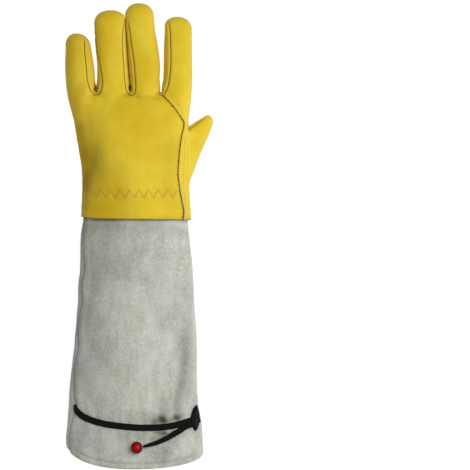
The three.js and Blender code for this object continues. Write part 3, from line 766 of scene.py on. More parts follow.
# Flat elastic laid on the suede: a thin strap with rounded edges
def makeBand(plan):
    points, ups = layOnSuede(smoothLine(plan["band"], 1.5), 12)
    half = plan["bandWidth"] / 2
    # it comes out from under the lip of the side seam, so it starts narrow
    widths = half * (0.25 + 0.75 * ease(walkLengths(points), -1, 8))
    section = [(share, plan["bandLift"] + rise * plan["bandThick"]) for share, rise in plan["bandSection"]]
    shape = skinStrap(points, ups, widths, section, half)
    return finishPiece("elastic_band_woven", shape, [elastic], ["elastic_band"])


# The tail is the strap doubled back on itself: two strands side by side that close up at the bead
def makeTail(plan):
    line = smoothLine(plan["tail"], 1.2)
    points, ups = layOnSuede(line[:, :2], 8)
    points += ups * (plan["tailLift"] + plan["tailThick"] / 2 + line[:, 2:])
    half = plan["tailWidth"] / 2
    widths = half * smoothRows(plan["tailTaper"], np.linspace(0, 1, len(points)))[:, 0]
    section = [(share, rise * plan["tailThick"] / 2) for share, rise in plan["tailSection"]]
    shape = skinStrap(points, ups, widths, section, half)
    tail = finishPiece("elastic_tail_doubled", shape, [elastic], ["elastic_tail"])
    return tail, points, float(walkLengths(points)[-1])


def turnRound(shape, geom, steps):
    bmesh.ops.spin(
        shape, geom=geom, axis=(0, 0, 1), cent=(0, 0, 0), angle=2 * math.pi, steps=steps, use_merge=True,
    )


# Turns a shape from the Z axis towards a way, and moves it to its place in mm
def setInPlace(shape, towards, place):
    turn = Vector((0, 0, 1)).rotation_difference(towards).to_matrix()
    bmesh.ops.rotate(shape, verts=shape.verts, cent=(0, 0, 0), matrix=turn)
    bmesh.ops.translate(shape, verts=shape.verts, vec=Vector(place) * mm)


# Bead: a drilled barrel turned on a lathe and polished, threaded on the end of the tail
def makeBead(plan, tailEnd):
    surface, normal = dropOn(gauntletTree, *plan["beadAt"])
    half, radius, bore = plan["beadLength"] / 2, plan["beadWidth"] / 2, plan["beadBore"] / 2
    centre = surface + normal * (radius - plan["beadSunk"])
    reach = 1.2  # radians of the barrel's curve on each side of its middle
    curve = np.linspace(-reach, reach, 25)
    profile = [(radius * math.cos(a) ** 0.92, half * math.sin(a) / math.sin(reach)) for a in curve]
    profile = [(bore, -half + 0.5)] + profile + [(bore, half - 0.5)]
    shape = bmesh.new()
    verts = [shape.verts.new((x * mm, 0, z * mm)) for x, z in profile]
    edges = [shape.edges.new(pair) for pair in zip(verts, verts[1:] + verts[:1])]
    turnRound(shape, verts + edges, 48)
    bmesh.ops.remove_doubles(shape, verts=shape.verts, dist=1e-6)
    towards = Vector(tailEnd - centre)
    towards.z = 0
    setInPlace(shape, towards.normalized(), centre)
    bead = finishPiece("bead_turned", shape, [acrylic], ["bead"])
    # painted shade: none on its crown, all of it where the side stands upright
    upright = 1 - np.abs(meshVectors(bead.data, "normal")[:, 2])
    setAttribute(bead.data, "rim", np.interp(upright, plan["paintedBeadShadeUpright"], [0, 1]))
    return bead


# Lock: a folded nylon tab with a ridge down its middle and an eyelet, pointed above and below
def makeLock(plan):
    surface, normal = dropOn(gauntletTree, *plan["lockAt"])
    shape = bmesh.new()
    for part in plan["lockParts"]:
        verts = bmesh.ops.create_circle(shape, segments=len(part["outline"]), radius=1)["verts"]
        for vert, (x, y) in zip(verts, part["outline"]):
            vert.co = Vector((x, y, 0)) * mm
        edges = edgesOf(verts)
        bmesh.ops.holes_fill(shape, edges=edges, sides=0)
        # each level: how far up, how much smaller, and how far it closes in on the ridge
        for rise, shrink, ridge in part["levels"]:
            verts, edges = pullEdges(shape, edges)
            for vert in verts:
                x, y, z = vert.co / mm
                x, y = part["ridgeX"] + (x - part["ridgeX"]) * shrink * (1 - ridge), y * shrink
                vert.co = Vector((x, y, z + rise)) * mm
        bmesh.ops.holes_fill(shape, edges=edges, sides=0)
    bmesh.ops.recalc_face_normals(shape, faces=shape.faces)
    sharp = [e for e in shape.edges if e.calc_face_angle(0) > 0.3]
    bmesh.ops.bevel(shape, geom=sharp, offset=0.22 * mm, segments=2, profile=0.5, affect="EDGES", material=-1)
    # eyelet: a rolled ring pressed into the face
    eyelet = plan["eyelet"]
    wire = bmesh.ops.create_circle(shape, segments=14, radius=eyelet["wire"] / 2 * mm)["verts"]
    before = set(shape.verts) - set(wire)
    bmesh.ops.rotate(shape, verts=wire, cent=(0, 0, 0), matrix=Matrix.Rotation(math.pi / 2, 3, "X"))
    bmesh.ops.translate(shape, verts=wire, vec=(eyelet["radius"] * mm, 0, 0))
    turnRound(shape, wire + edgesOf(wire), 28)
    bmesh.ops.remove_doubles(shape, verts=[v for v in shape.verts if v not in before], dist=1e-6)
    ring = [v for v in shape.verts if v not in before]
    bmesh.ops.translate(shape, verts=ring, vec=Vector(eyelet["at"]) * mm)
    setInPlace(shape, Vector(normal + np.array([0, 0, plan["lockUpright"]])).normalized(), surface + normal * 0.4)
    piece = finishPiece("lock_nylon", shape, [nylon], ["cord_lock"])
    piece.data.polygons.foreach_set("use_smooth", [False] * len(piece.data.polygons))
    return piece


tailPiece, tailPath, tailLength = makeTail(strapPlan)
beadPiece = makeBead(strapPlan, tailPath[-1])
makeBand(strapPlan)
makeLock(strapPlan)
print("strap made, tail", round(tailLength, 1), "mm")

# Hand and digits: each table row is y, left, right, bottom, waist, top, and lean for the hand
handPlan = {
    "rows": [
        (4, -58.5, 52.5, -3, 18, 40, 0),
        (16, -58, 52, -3, 18, 40, 0),
        (30, -57.5, 51.5, -3, 17.5, 39.5, 2),
        (48, -56.5, 51, -3, 17, 38.5, 5),
        (68, -57.5, 50.5, -2, 16.5, 37.5, 8),
        (88, -60.5, 50, -1, 16, 37, 11),
        (104, -63.5, 50, 0, 16, 36, 13),
        (118, -66.2, 50, 1, 16, 34, 12),
        (130, -69, 51.5, 3, 15.5, 31.5, 8),
        (139, -70.3, 52.6, 4.5, 15, 28, 4),
    ],
    "end": (143, -67, 50, 8, 15, 22, 4),
    "sides": 120,
    "digitSides": 72,
    "voxel": 0.8,
    "wall": 1.4,
    "slit": 0.1,
    # rounds of smoothing, in this order
    "relax": {"everywhere": 5, "joints": 70, "thumbJoint": 160},
}
digitPlans = {
    "little": {
        "rows": [
            (104, -60, -42, 2, 10, 15),
            (120, -66, -43, 1, 11, 20.5),
            (134, -70.3, -43.4, 0, 11, 23.5),
            (152, -73, -44, -1, 10.5, 23),
            (170, -74, -45, -1, 10, 22),
            (189, -73.6, -48, -1, 9.5, 20.5),
        ],
        "tip": (-62.5, 203, 9),
        "round": 2.1,
    },
    "ring": {
        "rows": [
            (104, -40, -11, 4, 13, 24),
            (124, -41, -10.6, 3.5, 14, 29),
            (146, -42, -10.6, 3.5, 13, 27),
            (170, -42, -11.9, -1, 11, 24.5),
            (186, -43.5, -13.1, -1, 10.5, 23),
            (214, -45, -15, -1, 9.5, 21),
        ],
        "tip": (-28.5, 226, 9.5),
        "round": 2.2,
    },
    "middle": {
        "rows": [
            (104, -8, 20, 5, 15, 27),
            (124, -7.4, 20, 4.5, 15.5, 31.5),
            (146, -7.2, 20, 4.5, 14, 28.5),
            (172, -9.7, 20.8, 0, 11.5, 25),
            (188, -10.8, 19, -1, 11, 23.5),
            (206, -12.1, 16.2, -1, 10, 22),
            (221, -13, 14.8, -1, 9.5, 20.5),
        ],
        "tip": (0, 233, 9.5),
        "round": 2.25,
    },
    "index": {
        "rows": [
            (104, 22, 48, 12, 20, 27),
            (120, 22, 49.8, 11, 21, 32.5),
            (134, 23, 52, 8, 18, 31),
            (146, 23.8, 53, 5, 15, 28.5),
            (170, 24.6, 53, 1, 12, 25),
            (190, 25, 53, -1, 11, 23),
            (208, 25.4, 52.8, -1, 9.5, 21),
        ],
        "tip": (38, 219.5, 9.5),
        "round": 2.2,
    },
    "thumb": {
        "rows": [
            (38, 18, 46, 1, 13, 24),
            (50, 20, 49, 0, 13, 28),
            (62, 23, 54, -2, 13, 30.5),
            (74, 27, 58.4, -2, 13, 30.5),
            (86, 31.5, 63.2, -2, 12.5, 28.5),
            (97, 37, 68, -2, 11.5, 25),
            (105, 43, 71.4, -1.5, 10.8, 21.5),
            (110, 49.3, 73.2, -1, 10.5, 19.8),
            (114, 55.8, 74, 1, 10.3, 18),
            (117.4, 61.8, 73.3, 3, 10, 16),
            (119.2, 65.2, 71.9, 5, 9.9, 14),
        ],
        "tip": (69.2, 120.9, 9.8),
        "round": 2,
    },
}


# Closed form of a digit: sections to where the tip starts, then the tip rounds off to a point
def digitRings(plan, sides):
    rings = tableRings([(*row, 0) for row in plan["rows"]], np.linspace(0, 2 * math.pi, sides, endpoint=False))
    last, left, right, _, waist, _ = plan["rows"][-1]
    base = np.array([(left + right) / 2, last, waist])
    tip = np.array(plan["tip"], float)
    outer = rings[-1]
    for step in range(1, 19):
        angle = step / 18.4 * math.pi / 2
        centre = base + (tip - base) * math.sin(angle) ** (2 / plan["round"])
        ring = (outer - base) * math.cos(angle) ** (2 / plan["round"]) + centre
        ring[:, 1] = centre[1]
        rings.append(ring)
    return rings


# Fingers are formed a little apart, or the remesh would join them, and then drawn together.
# Each row is y, the middle of the gap, and the share of it that closes.
gapPlans = {
    "little_ring": [(141.5, -43.4, 0), (144, -43.2, 1.1), (149, -42.8, 1.1), (152, -42.8, 0.5), (157, -43, 0)],
    "ring_middle": [
        (140.6, -8.9, 0), (142.4, -8.9, 1), (144, -8.9, 1.15), (147, -9, 1.15), (151, -9.2, 1.1),
        (158, -9.8, 1.12),
        (172, -10.9, 1.12), (190, -12.2, 1.12), (208, -13.5, 1.12), (218, -14.2, 1), (228, -14.6, 0),
    ],
    "middle_index": [(141, 22, 0), (145, 22, 0.7), (150, 22, 0.5), (158, 22.4, 0)],
}


def closeGap(points, tree, rows):
    places = np.arange(rows[0][0], rows[-1][0] + 0.1, 1.5)
    line = smoothRows(rows, places)
    left, right = [], []
    for y, (x, _) in zip(places, line):
        for walls, way in ((left, -1), (right, 1)):
            spots = [Vector((x, y, z)) * mm for z in (8, 10, 12, 14)]
            hits = [(spot, tree.ray_cast(spot, Vector((way, 0, 0)))[0]) for spot in spots]
            wall = min(((spot - hit).length / mm for spot, hit in hits if hit), default=9)
            walls.append(wall if wall < 4 else np.nan)
    left, right = np.array(left), np.array(right)
    found = ~np.isnan(left + right)
    left, right = (np.interp(places, places[found], walls[found]) for walls in (left, right))
    middle = np.interp(points[:, 1], places, line[:, 0] + (right - left) / 2)
    half = np.interp(points[:, 1], places, (left + right) / 2)
    share = np.interp(points[:, 1], places, np.clip(line[:, 1], 0, 1.15), left=0, right=0)
    off = points[:, 0] - middle
    beyond = off - np.sign(off) * half * share * hump(np.abs(off) - half, 8)
    points[:, 0] = middle + np.where(np.abs(off) < half, off * (1 - share), beyond)


def applyModifiers(piece):
    evaluated = piece.evaluated_get(bpy.context.evaluated_depsgraph_get())
    piece.data = bpy.data.meshes.new_from_object(evaluated)
    piece.modifiers.clear()


# Joins hand and digits into one closed skin, then relaxes the hollows where two of them meet
def makeHandForm(plan):
    angles = np.linspace(0, 2 * math.pi, plan["sides"], endpoint=False)
    forms = {"hand": tableRings(plan["rows"], angles, upperRounds)}
    forms["hand"].append(sectionPoints(plan["end"][0], plan["end"][1:], angles, upperRounds))
    for name, digit in digitPlans.items():
        forms[name] = digitRings(digit, plan["digitSides"])
    whole = bmesh.new()
    nearest = {}
    for name, rings in forms.items():
        part = skinRings(bmesh.new(), rings)
        nearest[name] = BVHTree.FromBMesh(part)
        part.free()
        skinRings(whole, rings)
    bmesh.ops.recalc_face_normals(whole, faces=whole.faces)
    mesh = bpy.data.meshes.new("handForm")
    whole.to_mesh(mesh)
    whole.free()
    form = addObject("handForm", mesh)
    remesh = form.modifiers.new("remesh", "REMESH")
    remesh.mode = "VOXEL"
    remesh.voxel_size = plan["voxel"] * mm
    applyModifiers(form)
    print("hand form remeshed", len(form.data.vertices))

    reach = 16 * mm
    groups = {name: form.vertex_groups.new(name=name) for name in plan["relax"]}
    for vert in form.data.vertices:
        found = {name: tree.find_nearest(vert.co, reach)[3] for name, tree in nearest.items()}
        gaps = {name: reach if gap is None else gap for name, gap in found.items()}
        digit = min(gap for name, gap in gaps.items() if name != "hand")
        weights = {
            "everywhere": 1,
            "joints": (8 * mm - max(gaps["hand"], digit)) / (6 * mm),
            "thumbJoint": (13 * mm - max(gaps["hand"], gaps["thumb"])) / (9 * mm),
        }
        for name, weight in weights.items():
            groups[name].add([vert.index], min(1, max(0, weight)), "REPLACE")
    for name, times in plan["relax"].items():
        relax = form.modifiers.new("relax", "SMOOTH")
        relax.vertex_group = name
        relax.factor = 0.5
        relax.iterations = times
    applyModifiers(form)
    tree = treeOf([form])
    points = meshVectors(form.data, "co")
    for rows in gapPlans.values():
        closeGap(points, tree, rows)
    setPoints(form.data, points)
    return form


handForm = makeHandForm(handPlan)
print("hand form relaxed")

seamPlan = {
    "back": [
        (24.5, 141), (32, 133.4), (38.2, 125.6), (42.6, 119.2), (46, 113.4), (45.4, 108), (43, 97), (41.4, 85),
        (40.4, 72), (39.9, 60), (40.9, 53), (41.2, 50), (43.4, 36), (45.6, 24), (44.6, 16), (43.2, 10),
    ],
    "thumb": [
        (27, 10), (29, 33), (32, 43), (38, 55), (46, 66), (55, 84), (63, 102), (68.4, 114), (70, 126),
    ],
    "ringFront": [(-43, 141), (-39, 139), (-33, 136.4), (-25.4, 135.7), (-16, 137.4), (-10.4, 141.5)],
    "middleFront": [(-6.6, 141.5), (-2, 139.6), (5, 139), (14, 139), (20.6, 139.3)],
    # height of the seam that joins back to palm: y, then at x -70, 50 and 74
    "side": [
        (4, 13, 15.2, 15), (60, 11, 15, 14), (98, 7.6, 13.2, 12.6), (104, 7.5, 14.4, 14.2),
        (110, 7.7, 15.6, 14.8), (114, 8, 16.4, 13), (118, 8.2, 17, 11), (121, 8.4, 17.6, 9.8), (125, 8.8, 18, 10),
        (146, 9.4, 14.4, 10), (172, 9.2, 11.5, 10), (206, 9, 10.2, 10), (240, 9, 9.9, 10),
    ],
    # seams round the strips between the fingers, from tip to tip, little finger side first
    "forks": [
        [
            (-54.6, 202), (-54.3, 186), (-52.7, 169), (-50.8, 153), (-47.6, 145), (-44.4, 141.6), (-41, 141.8),
            (-38.2, 145.4), (-37, 152), (-38.5, 166.5), (-42.2, 184), (-43.6, 196), (-46.4, 211),
        ],
        [
            (-15, 217), (-16.2, 196), (-15.2, 171), (-13.4, 152), (-11.8, 144.6), (-8.6, 140.8), (-5.2, 142.4),
            (-3.7, 147.4), (-4, 157), (-4.8, 169), (-8, 192), (-10.6, 211), (-13, 221),
        ],
        [
            (15.6, 222), (16.2, 206), (18.6, 188), (20.4, 170), (20.6, 152), (20.4, 145), (21.2, 141.4),
            (24, 141.4), (27.6, 147), (30.6, 160), (31.6, 176), (31.3, 192), (30.4, 208), (29, 217),
        ],
    ],
    # lower edge of the hand's leather: x, y
    "hem": [
        (-62, 20), (-57, 19.2), (-53, 17.9), (-40, 17.2), (-24, 16.9), (0, 16.6), (30, 16.2), (42, 15.9),
        (47, 15.7), (56, 16.4),
    ],
}
hemLine = np.array(seamPlan["hem"])
backOutline = np.vstack([smoothLine(seamPlan["back"], 2.5), [(-90, 10), (-90, 240), (20, 240)]])
wrapOutline = np.vstack([smoothLine(seamPlan["thumb"], 3), [(90, 126), (90, 10)]])
ringOutline = np.vstack(
    [smoothLine(seamPlan["ringFront"], 3), [(-8, 155), (-8, 186), (-13.5, 222), (-13.5, 240), (-50, 240)]]
)
middleOutline = np.vstack(
    [smoothLine(seamPlan["middleFront"], 3), [(20.6, 240), (-13.5, 240), (-13.5, 222), (-8, 186), (-8, 155)]]
)
forkOutlines = [smoothLine(line, 2) for line in seamPlan["forks"]]


def aboveSideSeam(points):
    little, edge, thumb = smoothRows(seamPlan["side"], np.clip(points[:, 1], 4, 240)).T
    x = points[:, 0]
    onHand = little + (edge - little) * (x + 70) / 120
    onThumb = edge + (thumb - edge) * (x - 50) / 24
    return points[:, 2] - np.where(x < 50, onHand, onThumb)


def aboveHem(points):
    return points[:, 1] - np.interp(points[:, 0], hemLine[:, 0], hemLine[:, 1])


# Cuts new edges into a skin where a field passes through zero, on its back (1), its palm side (-1) or both (0)
def cutWhere(shape, field, face=0):
    shape.verts.index_update()
    points = np.array([v.co for v in shape.verts]) / mm
    values = field(points)
    usable = face * aboveSideSeam(points) > -0.02

    def crossing(edge):
        a, b = (values[vert.index] for vert in edge.verts)
        return a / (a - b) if a * b < 0 else None

    edges = [e for e in shape.edges if crossing(e) is not None and all(usable[v.index] for v in e.verts)]
    onLine = set()
    # a crossing near a vertex moves the vertex, so that no sliver is cut
    for edge in edges:
        share = crossing(edge)
        if share is not None and not 0.14 <= share <= 0.86:
            near, far = edge.verts if share < 0.5 else (edge.verts[1], edge.verts[0])
            near.co = near.co.lerp(far.co, min(share, 1 - share))
            values[near.index] = 0
            onLine.add(near)
    splits = [(edge, edge.verts[0], crossing(edge)) for edge in edges if crossing(edge) is not None]
    for edge, vert, share in splits:
        onLine.add(bmesh.utils.edge_split(edge, vert, share)[1])
    bmesh.ops.connect_verts(shape, verts=list(onLine))
    shape.verts.index_update()


panelNames = [
    "back_panel", "thumb_index_back", "palm_panel", "ring_front", "middle_front", "fourchette_little_ring",
    "fourchette_ring_middle", "fourchette_middle_index",
]


# Which leather each place of the skin belongs to, by its number in the list
def panelAt(points):
    upper = aboveSideSeam(points) > 0
    panel = np.full(len(points), 2)
    for number, outline in ((3, ringOutline), (4, middleOutline), (1, wrapOutline)):
        panel[~upper & (planInside(points, outline) > 0)] = number
    panel[upper] = np.where(planInside(points[upper], backOutline) > 0, 0, 1)
    for number, outline in enumerate(forkOutlines, 5):
        panel[planInside(points, outline) > 0] = number
    return panel


# Crumbs of a panel that a seam leaves where it grazes a side go to the panel round them
def tidyPanels(shape, panel, smallest=400):
    shape.faces.index_update()
    seen = np.zeros(len(shape.faces), bool)
    for start in shape.faces:
        if seen[start.index]:
            continue
        seen[start.index] = True
        island, queue, borders = [], [start], {}
        while queue:
            face = queue.pop()
            island.append(face.index)
            for other in (other for edge in face.edges for other in edge.link_faces):
                if panel[other.index] != panel[start.index]:
                    borders[panel[other.index]] = borders.get(panel[other.index], 0) + 1
                elif not seen[other.index]:
                    seen[other.index] = True
                    queue.append(other)
        if len(island) < smallest and borders:
            panel[island] = max(borders, key=borders.get)
    return panel


def cutPanels(form):
    shape = bmesh.new()
    shape.from_mesh(form.data)
    cutWhere(shape, aboveHem)
    below = [f for f in shape.faces if aboveHem(np.array([f.calc_center_median()]) / mm)[0] < 0]
    bmesh.ops.delete(shape, geom=below, context="FACES")
    cutWhere(shape, aboveSideSeam)
    outlines = [(backOutline, 1), (wrapOutline, -1), (ringOutline, -1), (middleOutline, -1)]
    for outline, face in outlines + [(outline, 0) for outline in forkOutlines]:
        cutWhere(shape, partial(planInside, outline=outline), face)
    centres = np.array([f.calc_center_median() for f in shape.faces]) / mm
    return shape, tidyPanels(shape, panelAt(centres))


handShape, facePanel = cutPanels(handForm)
bpy.data.objects.remove(handForm)
print("panels cut", len(handShape.verts), np.bincount(facePanel))

# Relief of the sewn leather, in mm. Lines are in plan, on the back of the hand.
reliefPlan = {
    "groove": 0.5,
    "grooveWidth": 1.1,
    "puff": 0.22,
    "thumbSeamEnd": (69.5, 120.5),
    "backDip": 1.0,
    "stripLift": 0.9,
    # lines wider than this paint broad shade
    "paintedBroadShadeWidth": 8,
    # share of painted light on sides that face the key light
    "paintedSideLightShare": 0.14,
    # line, depth, half width, and how much painted shade it takes
    "creases": [
        ([(50.2, 111), (50.6, 107.6), (51.2, 105.6)], 1.2, 1.4, 0.35),
        ([(-2, 140.6), (3, 139), (9, 139.6)], 0.8, 3.6, 0.14),
        ([(12, 140.8), (17, 138.4), (21, 137.4)], 0.6, 1.4, 0.1),
        ([(-59, 110), (-56, 100), (-54, 90), (-51, 76), (-52, 64), (-56, 52)], 0.8, 14, 0.26),
        ([(-62, 108), (-60, 92), (-57, 64), (-57, 30)], 0, 10, 0.16),
        ([(-57, 149), (-60, 138), (-62, 118), (-60, 104), (-58, 90), (-56, 78)], 0, 11, 0.22),
        ([(-44, 76), (-42, 58), (-38, 28)], 0, 26, 0.2),
        ([(-20, 64), (-14, 24)], 0, 20, 0.18),
        ([(32, 90), (32, 46)], 0, 17, 0.18),
        ([(-45, 90), (-44, 82), (-46, 70)], 1.0, 5.5, 0.14),
        ([(-57, 60), (-57, 24)], 0.2, 16, 0.2),
        ([(-69, 196), (-70, 165), (-67, 136), (-64, 126)], 0.2, 13, 0.18),
        ([(51.2, 107.4), (60.1, 113.6), (64.6, 117)], 0.45, 1.0, 0.5),
        ([(-54.2, 64), (-53.2, 58), (-52.8, 49), (-53.2, 41), (-53.4, 30), (-54, 24)], 0.5, 1.2, 0.16),
        ([(-50, 27), (-28, 27.4)], 0.35, 2, 0.05),
        ([(-46, 134), (-40, 130), (-36, 131)], 0.5, 3, 0),
        ([(-14, 134), (-8, 131), (-3, 133)], 0.3, 4, 0),
        ([(-14.2, 216), (-12.4, 192), (-11, 172), (-9.9, 157), (-9, 149)], 0, 1.5, 0.48),
        ([(-44.6, 214), (-44, 196), (-42.6, 180)], 0, 1.6, 0.35),
        ([(-9, 149.5), (-8.9, 146.5)], 0.4, 2.2, 0.9),
        ([(-43.6, 151.6), (-43.2, 149), (-44.6, 146.4)], 0.4, 2.2, 0.85),
        ([(22, 144.5), (22, 142.6)], 0.2, 1.2, 0.5),
    ],
    # the flank over the little finger edge falls away
    "flank": {"from": -28, "to": -60, "drop": 7.0, "low": 46, "high": 124, "rise": (11, 23)},
    "zigzag": {"from": -48.2, "to": 38.6, "low": 38, "high": 46.4, "period": 9.6},
}


def zigzagLine(plan):
    x = np.arange(plan["from"], plan["to"], plan["period"] / 2)
    return np.column_stack([x, np.where(np.arange(len(x)) % 2, plan["low"], plan["high"])])


def sculptHand(shape, panel, plan):
    shape.verts.index_update()
    shape.faces.index_update()
    shape.normal_update()
    points = np.array([v.co for v in shape.verts]) / mm
    normals = np.array([v.normal for v in shape.verts])
    x, y, z = points.T
    upper = ease(normals[:, 2], 0.05, 0.3)

    # spots along the lapped back seam (True) and along all the others (False)
    seamSpots = {True: [], False: []}
    for edge in shape.edges:
        sides = {panel[face.index] for face in edge.link_faces}
        if len(sides) == 2 and len(edge.link_faces) == 2:
            middle = (edge.verts[0].co + edge.verts[1].co) / 2
            isBack = sides == {0, 1} and middle.y < 0.142 and middle.x > 0.02
            seamSpots[isBack] += [edge.verts[0].co.copy(), middle]

    def distanceTo(spots):
        tree = KDTree(len(spots))
        for i, spot in enumerate(spots):
            tree.insert(spot, i)
        tree.balance()
        return np.array([tree.find(v.co)[2] for v in shape.verts]) / mm

    fromBack, fromSeam = distanceTo(seamSpots[True]), distanceTo(seamSpots[False])
    ofPanel = np.zeros(len(points), int)
    for face in shape.faces:
        for vert in face.verts:
            ofPanel[vert.index] = max(ofPanel[vert.index], panel[face.index])
    onStrip = (ofPanel == 1) & (fromBack > 0.05)

    out = 0.3 * swell(points, 17, 1.7) + 0.12 * swell(points, 6, 5.3)
    paintedShade, paintedBroadShade = np.zeros((2, len(points)))
    # seams lie flatter where they run out over a tip, on the thumb and between the middle and index fingers
    ends = [line[i] for line in seamPlan["forks"] for i in (0, -1)] + [plan["thumbSeamEnd"]]
    fromEnd = np.min([np.linalg.norm(points[:, :2] - end, axis=1) for end in ends], axis=0)
    firm = 0.2 + 0.8 * ease(fromEnd, 2, 10)
    firm *= np.where((x > 49.6) & (y > 92), 0.45, 1)
    firm *= np.where((x > 12) & (x < 21.6) & (y > 148), 0.2, 1)
    out -= firm * plan["groove"] * hump(fromSeam, plan["grooveWidth"])
    out += firm * plan["puff"] * hump(fromSeam - 2.4, 1.1)
    flank = plan["flank"]
    along = ease(y, flank["low"] - 16, flank["low"] + 16)
    along *= 1 - ease(y, flank["high"] - 14, flank["high"] + 14)
    sag = flank["drop"] * along * ease(-x, -flank["from"], -flank["to"])
    sag *= np.clip((z - flank["rise"][0]) / (flank["rise"][1] - flank["rise"][0]), 0, 1)
    for line, depth, width, dark in plan["creases"]:
        away = planDistance(points, smoothLine(line, 2))
        out -= upper * depth * hump(away, width)
        # wide lines paint broad shade, narrow ones paint shade into creases and crevices
        mark = paintedBroadShade if width > plan["paintedBroadShadeWidth"] else paintedShade
        mark += ease(z, 7, 11) * dark * hump(away, 0.6 * width)

    # shirring: the elastic behind the zigzag gathers the leather into small puckers
    zigzag = plan["zigzag"]
    fromZigzag = planDistance(points, zigzagLine(zigzag))
    fromMiddle = y - (zigzag["low"] + zigzag["high"]) / 2
    within = upper * ease(x, -52, -44) * (1 - ease(x, 34, 40))
    pucker = np.cos((x - zigzag["from"]) * 2 * math.pi / zigzag["period"])
    out += within * 0.12 * pucker * hump(fromMiddle - 4, 9)
    out -= within * 0.3 * (hump(fromZigzag, 1.3) + hump(fromMiddle, 6))
    # painted shade along the zigzag
    paintedShade += within * 0.1 * hump(fromZigzag, 1.1)
    fromHem = aboveHem(points)
    out += 0.3 * np.exp(-fromHem / 1.6)
    # painted shadow under the hem's edge
    paintedShade += 0.85 * hump(fromHem, 0.6)
    # painted shade above the hem
    paintedBroadShade += (0.1 + 0.1 * ease(x, -20, 20)) * hump(fromHem, 4)

    # the strip laps over the back panel along the back seam, so one rises and the other dips
    out -= np.where(onStrip, 0, plan["backDip"] * hump(fromBack, 2.2))
    lap = plan["stripLift"] * np.exp(-fromBack / 1.8) - 0.4 * hump(fromBack - 5.2, 1.6)
    base = points + normals * out[:, None]
    base[:, 2] = np.maximum(base[:, 2] - sag, 0.05)
    marks = {
        "paintedShade": np.clip(paintedShade, 0, 1),
        "paintedBroadShade": np.clip(paintedBroadShade, 0, 1),
        # painted light on sides that face the key light
        "paintedSideLight": plan["paintedSideLightShare"] * ease(normals[:, 0], 0.15, 0.85),
        "seam": np.minimum(fromSeam + 0.7 * (1 - firm), 8),
    }
    return base, normals, np.where(onStrip, lap, 0), fromBack, marks


handPoints, handNormals, stripLifts, fromBackSeam, handMarks = sculptHand(handShape, facePanel, reliefPlan)
print("hand sculpted")


def makePanel(name, number):
    shape = handShape.copy()
    layers = {mark: shape.verts.layers.float.new(mark) for mark in (*handMarks, "lap")}
    onStrip = name == "thumb_index_back"
    for vert in shape.verts:
        i = vert.index
        lift = stripLifts[i] if onStrip else 0
        if onStrip and fromBackSeam[i] < 0.05:
            lift = reliefPlan["stripLift"] + reliefPlan["backDip"]  # only the back panel dips at the shared line
        vert.co = Vector(handPoints[i] + handNormals[i] * lift) * mm
        for mark, values in handMarks.items():
            vert[layers[mark]] = values[i]
        vert[layers["lap"]] = (1 if onStrip else -1) * (0.5 + min(8, fromBackSeam[i]))
    others = [f for f in shape.faces if facePanel[f.index] != number]
    bmesh.ops.delete(shape, geom=others, context="FACES")
    # each border draws in a little, so that two panels leave a fine slit
    moved = []
    for vert in (v for v in shape.verts if v.is_boundary):
        inner = [e.other_vert(vert).co for e in vert.link_edges if not e.is_boundary]
        if inner:
            way = sum(inner, Vector()) / len(inner) - vert.co
            moved.append((vert, vert.co + way.normalized() * handPlan["slit"] / 2 * mm))
    for vert, place in moved:
        vert.co = place
    piece = finishPiece(
        f"{name}_leather", shape, [grainLeather, fleshSide], [name], faceOut=False,
    )
    addWall(piece, handPlan["wall"], material=1)
    return piece


panelPieces = {name: makePanel(name, i) for i, name in enumerate(panelNames)}
handShape.free()
handTree = treeOf(panelPieces.values())
print("panels made", {name: len(p.data.polygons) for name, p in panelPieces.items()})


# A row of stitches: small sunk lengths of thread, each laid along the line on a surface
def sewAlong(shape, tree, line, pitch, length, width, sink=0.1, fromBelow=False):
    walked = smoothLine(line, 0.5) if len(line) > 2 else np.array(line, float)
    lengths = walkLengths(walked)

    def dropAt(place):
        return dropOn(tree, *(np.interp(place, lengths, walked[:, k]) for k in (0, 1)), fromBelow)

    for place in np.arange(pitch / 2, lengths[-1], pitch):
        point, normal = dropAt(place)
        up = Vector(normal)
        across = up.cross(Vector(dropAt(place + 0.5)[0] - dropAt(place - 0.5)[0])).normalized()
        turn = Matrix((across.cross(up).normalized(), across, up)).transposed()
        made = bmesh.ops.create_uvsphere(shape, u_segments=7, v_segments=5, radius=0.5)["verts"]
        bmesh.ops.scale(shape, verts=made, vec=(length * mm, width * mm, width * 0.8 * mm))
        bmesh.ops.rotate(shape, verts=made, cent=(0, 0, 0), matrix=turn)
        bmesh.ops.translate(shape, verts=made, vec=Vector(point - normal * sink) * mm)
    return shape


# Rows on the back of the hand, each with its thread
stitchRows = {
    "strip": (
        [(46, 97), (45.7, 85), (44.8, 69), (44.3, 60), (44.4, 49), (45.3, 42), (46.6, 34), (47.4, 28)],
        darkThread,
    ),
    "strip_outer": ([(48.8, 90), (48.4, 84), (48.6, 69), (48.6, 59), (47.8, 49), (47.8, 43)], goldThread),
    "knuckle": ([(32, 139.6), (36.8, 134), (42, 127.3), (44.5, 122.4)], darkThread),
}
# how far in from the gauntlet's rim, and how deep on its upper and lower face
hemStitches = {"rimX": (-69, 61), "inward": (4.9, 6.6), "sinks": (0.12, 0.35)}

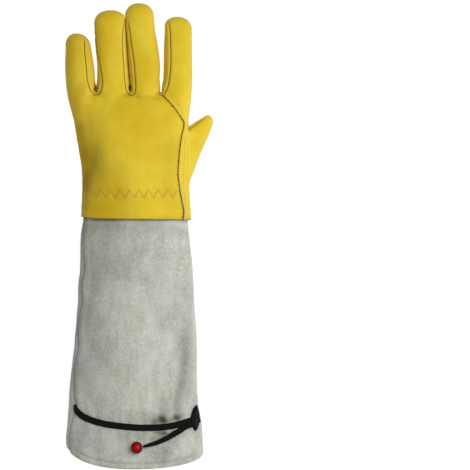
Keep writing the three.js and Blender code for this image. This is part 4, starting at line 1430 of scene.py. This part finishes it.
zigzagShape = bmesh.new()
corners = zigzagLine(reliefPlan["zigzag"])
for start, end in zip(corners[:-1], corners[1:]):
    sewAlong(zigzagShape, handTree, [start, end], 2.4, 1.5, 0.8)
finishPiece("zigzag_stitches", zigzagShape, [goldThread])
for name, (row, thread) in stitchRows.items():
    rowShape = sewAlong(bmesh.new(), handTree, row, 3.1, 1.4, 0.8, sink=0.12)
    finishPiece(f"{name}_stitches", rowShape, [thread])

hemShape = bmesh.new()
rimX = np.linspace(*hemStitches["rimX"], 120)
rim = np.column_stack([rimX, mouthY(rimX)])
along = np.gradient(rim, axis=0)
along /= np.linalg.norm(along, axis=1)[:, None]
for inward in hemStitches["inward"]:
    sewn = rim + np.column_stack([-along[:, 1], along[:, 0]]) * inward
    for fromBelow, sink in enumerate(hemStitches["sinks"]):
        sewAlong(hemShape, gauntletTree, sewn, 3.1, 2.7, 0.75, sink, bool(fromBelow))
finishPiece("hem_stitches", hemShape, [tanThread])
print("stitches sewn")

# Welt rolled into the seam at the foot of the ring and middle fronts, under the hand
weltPlan = {
    "line": [
        (-39, 139), (-33, 136.4), (-25.4, 135.7), (-16, 137.4), (-8, 139.4), (5, 139), (14, 139), (20.6, 139.3),
    ],
    "radius": 1.3,
}


def makeWelt(plan):
    line = smoothLine(plan["line"], 1)
    # beside the seam as well, since a line through its gap would find the back of the hand
    around = [[dropOn(handTree, x, y + off, True)[0] for off in (-1.2, 0, 1.2)] for x, y in line]
    points = np.array([(x, y, min(spot[2] for spot in spots)) for (x, y), spots in zip(line, around)])
    points = smoothed(points, 10)
    points[:, 2] = np.maximum(points[:, 2] - plan["radius"] * 0.5, plan["radius"])
    across, up = framesAlong(points, np.tile([0, 0, -1.0], (len(points), 1)))
    angles = np.linspace(0, 2 * math.pi, 12, endpoint=False)
    rings = []
    for i, (p, a, u) in enumerate(zip(points, across, up)):
        radius = plan["radius"] * (1 + 0.12 * math.sin(i * 1.9) + 0.08 * math.sin(i * 0.7))
        rings.append(np.array([p + (a * math.cos(t) + u * math.sin(t)) * radius for t in angles]))
    shape = skinRings(bmesh.new(), rings)
    finishPiece("finger_base_welt_rolled", shape, [fleshSide], ["finger_base_welt"])


makeWelt(weltPlan)
print("welt made")
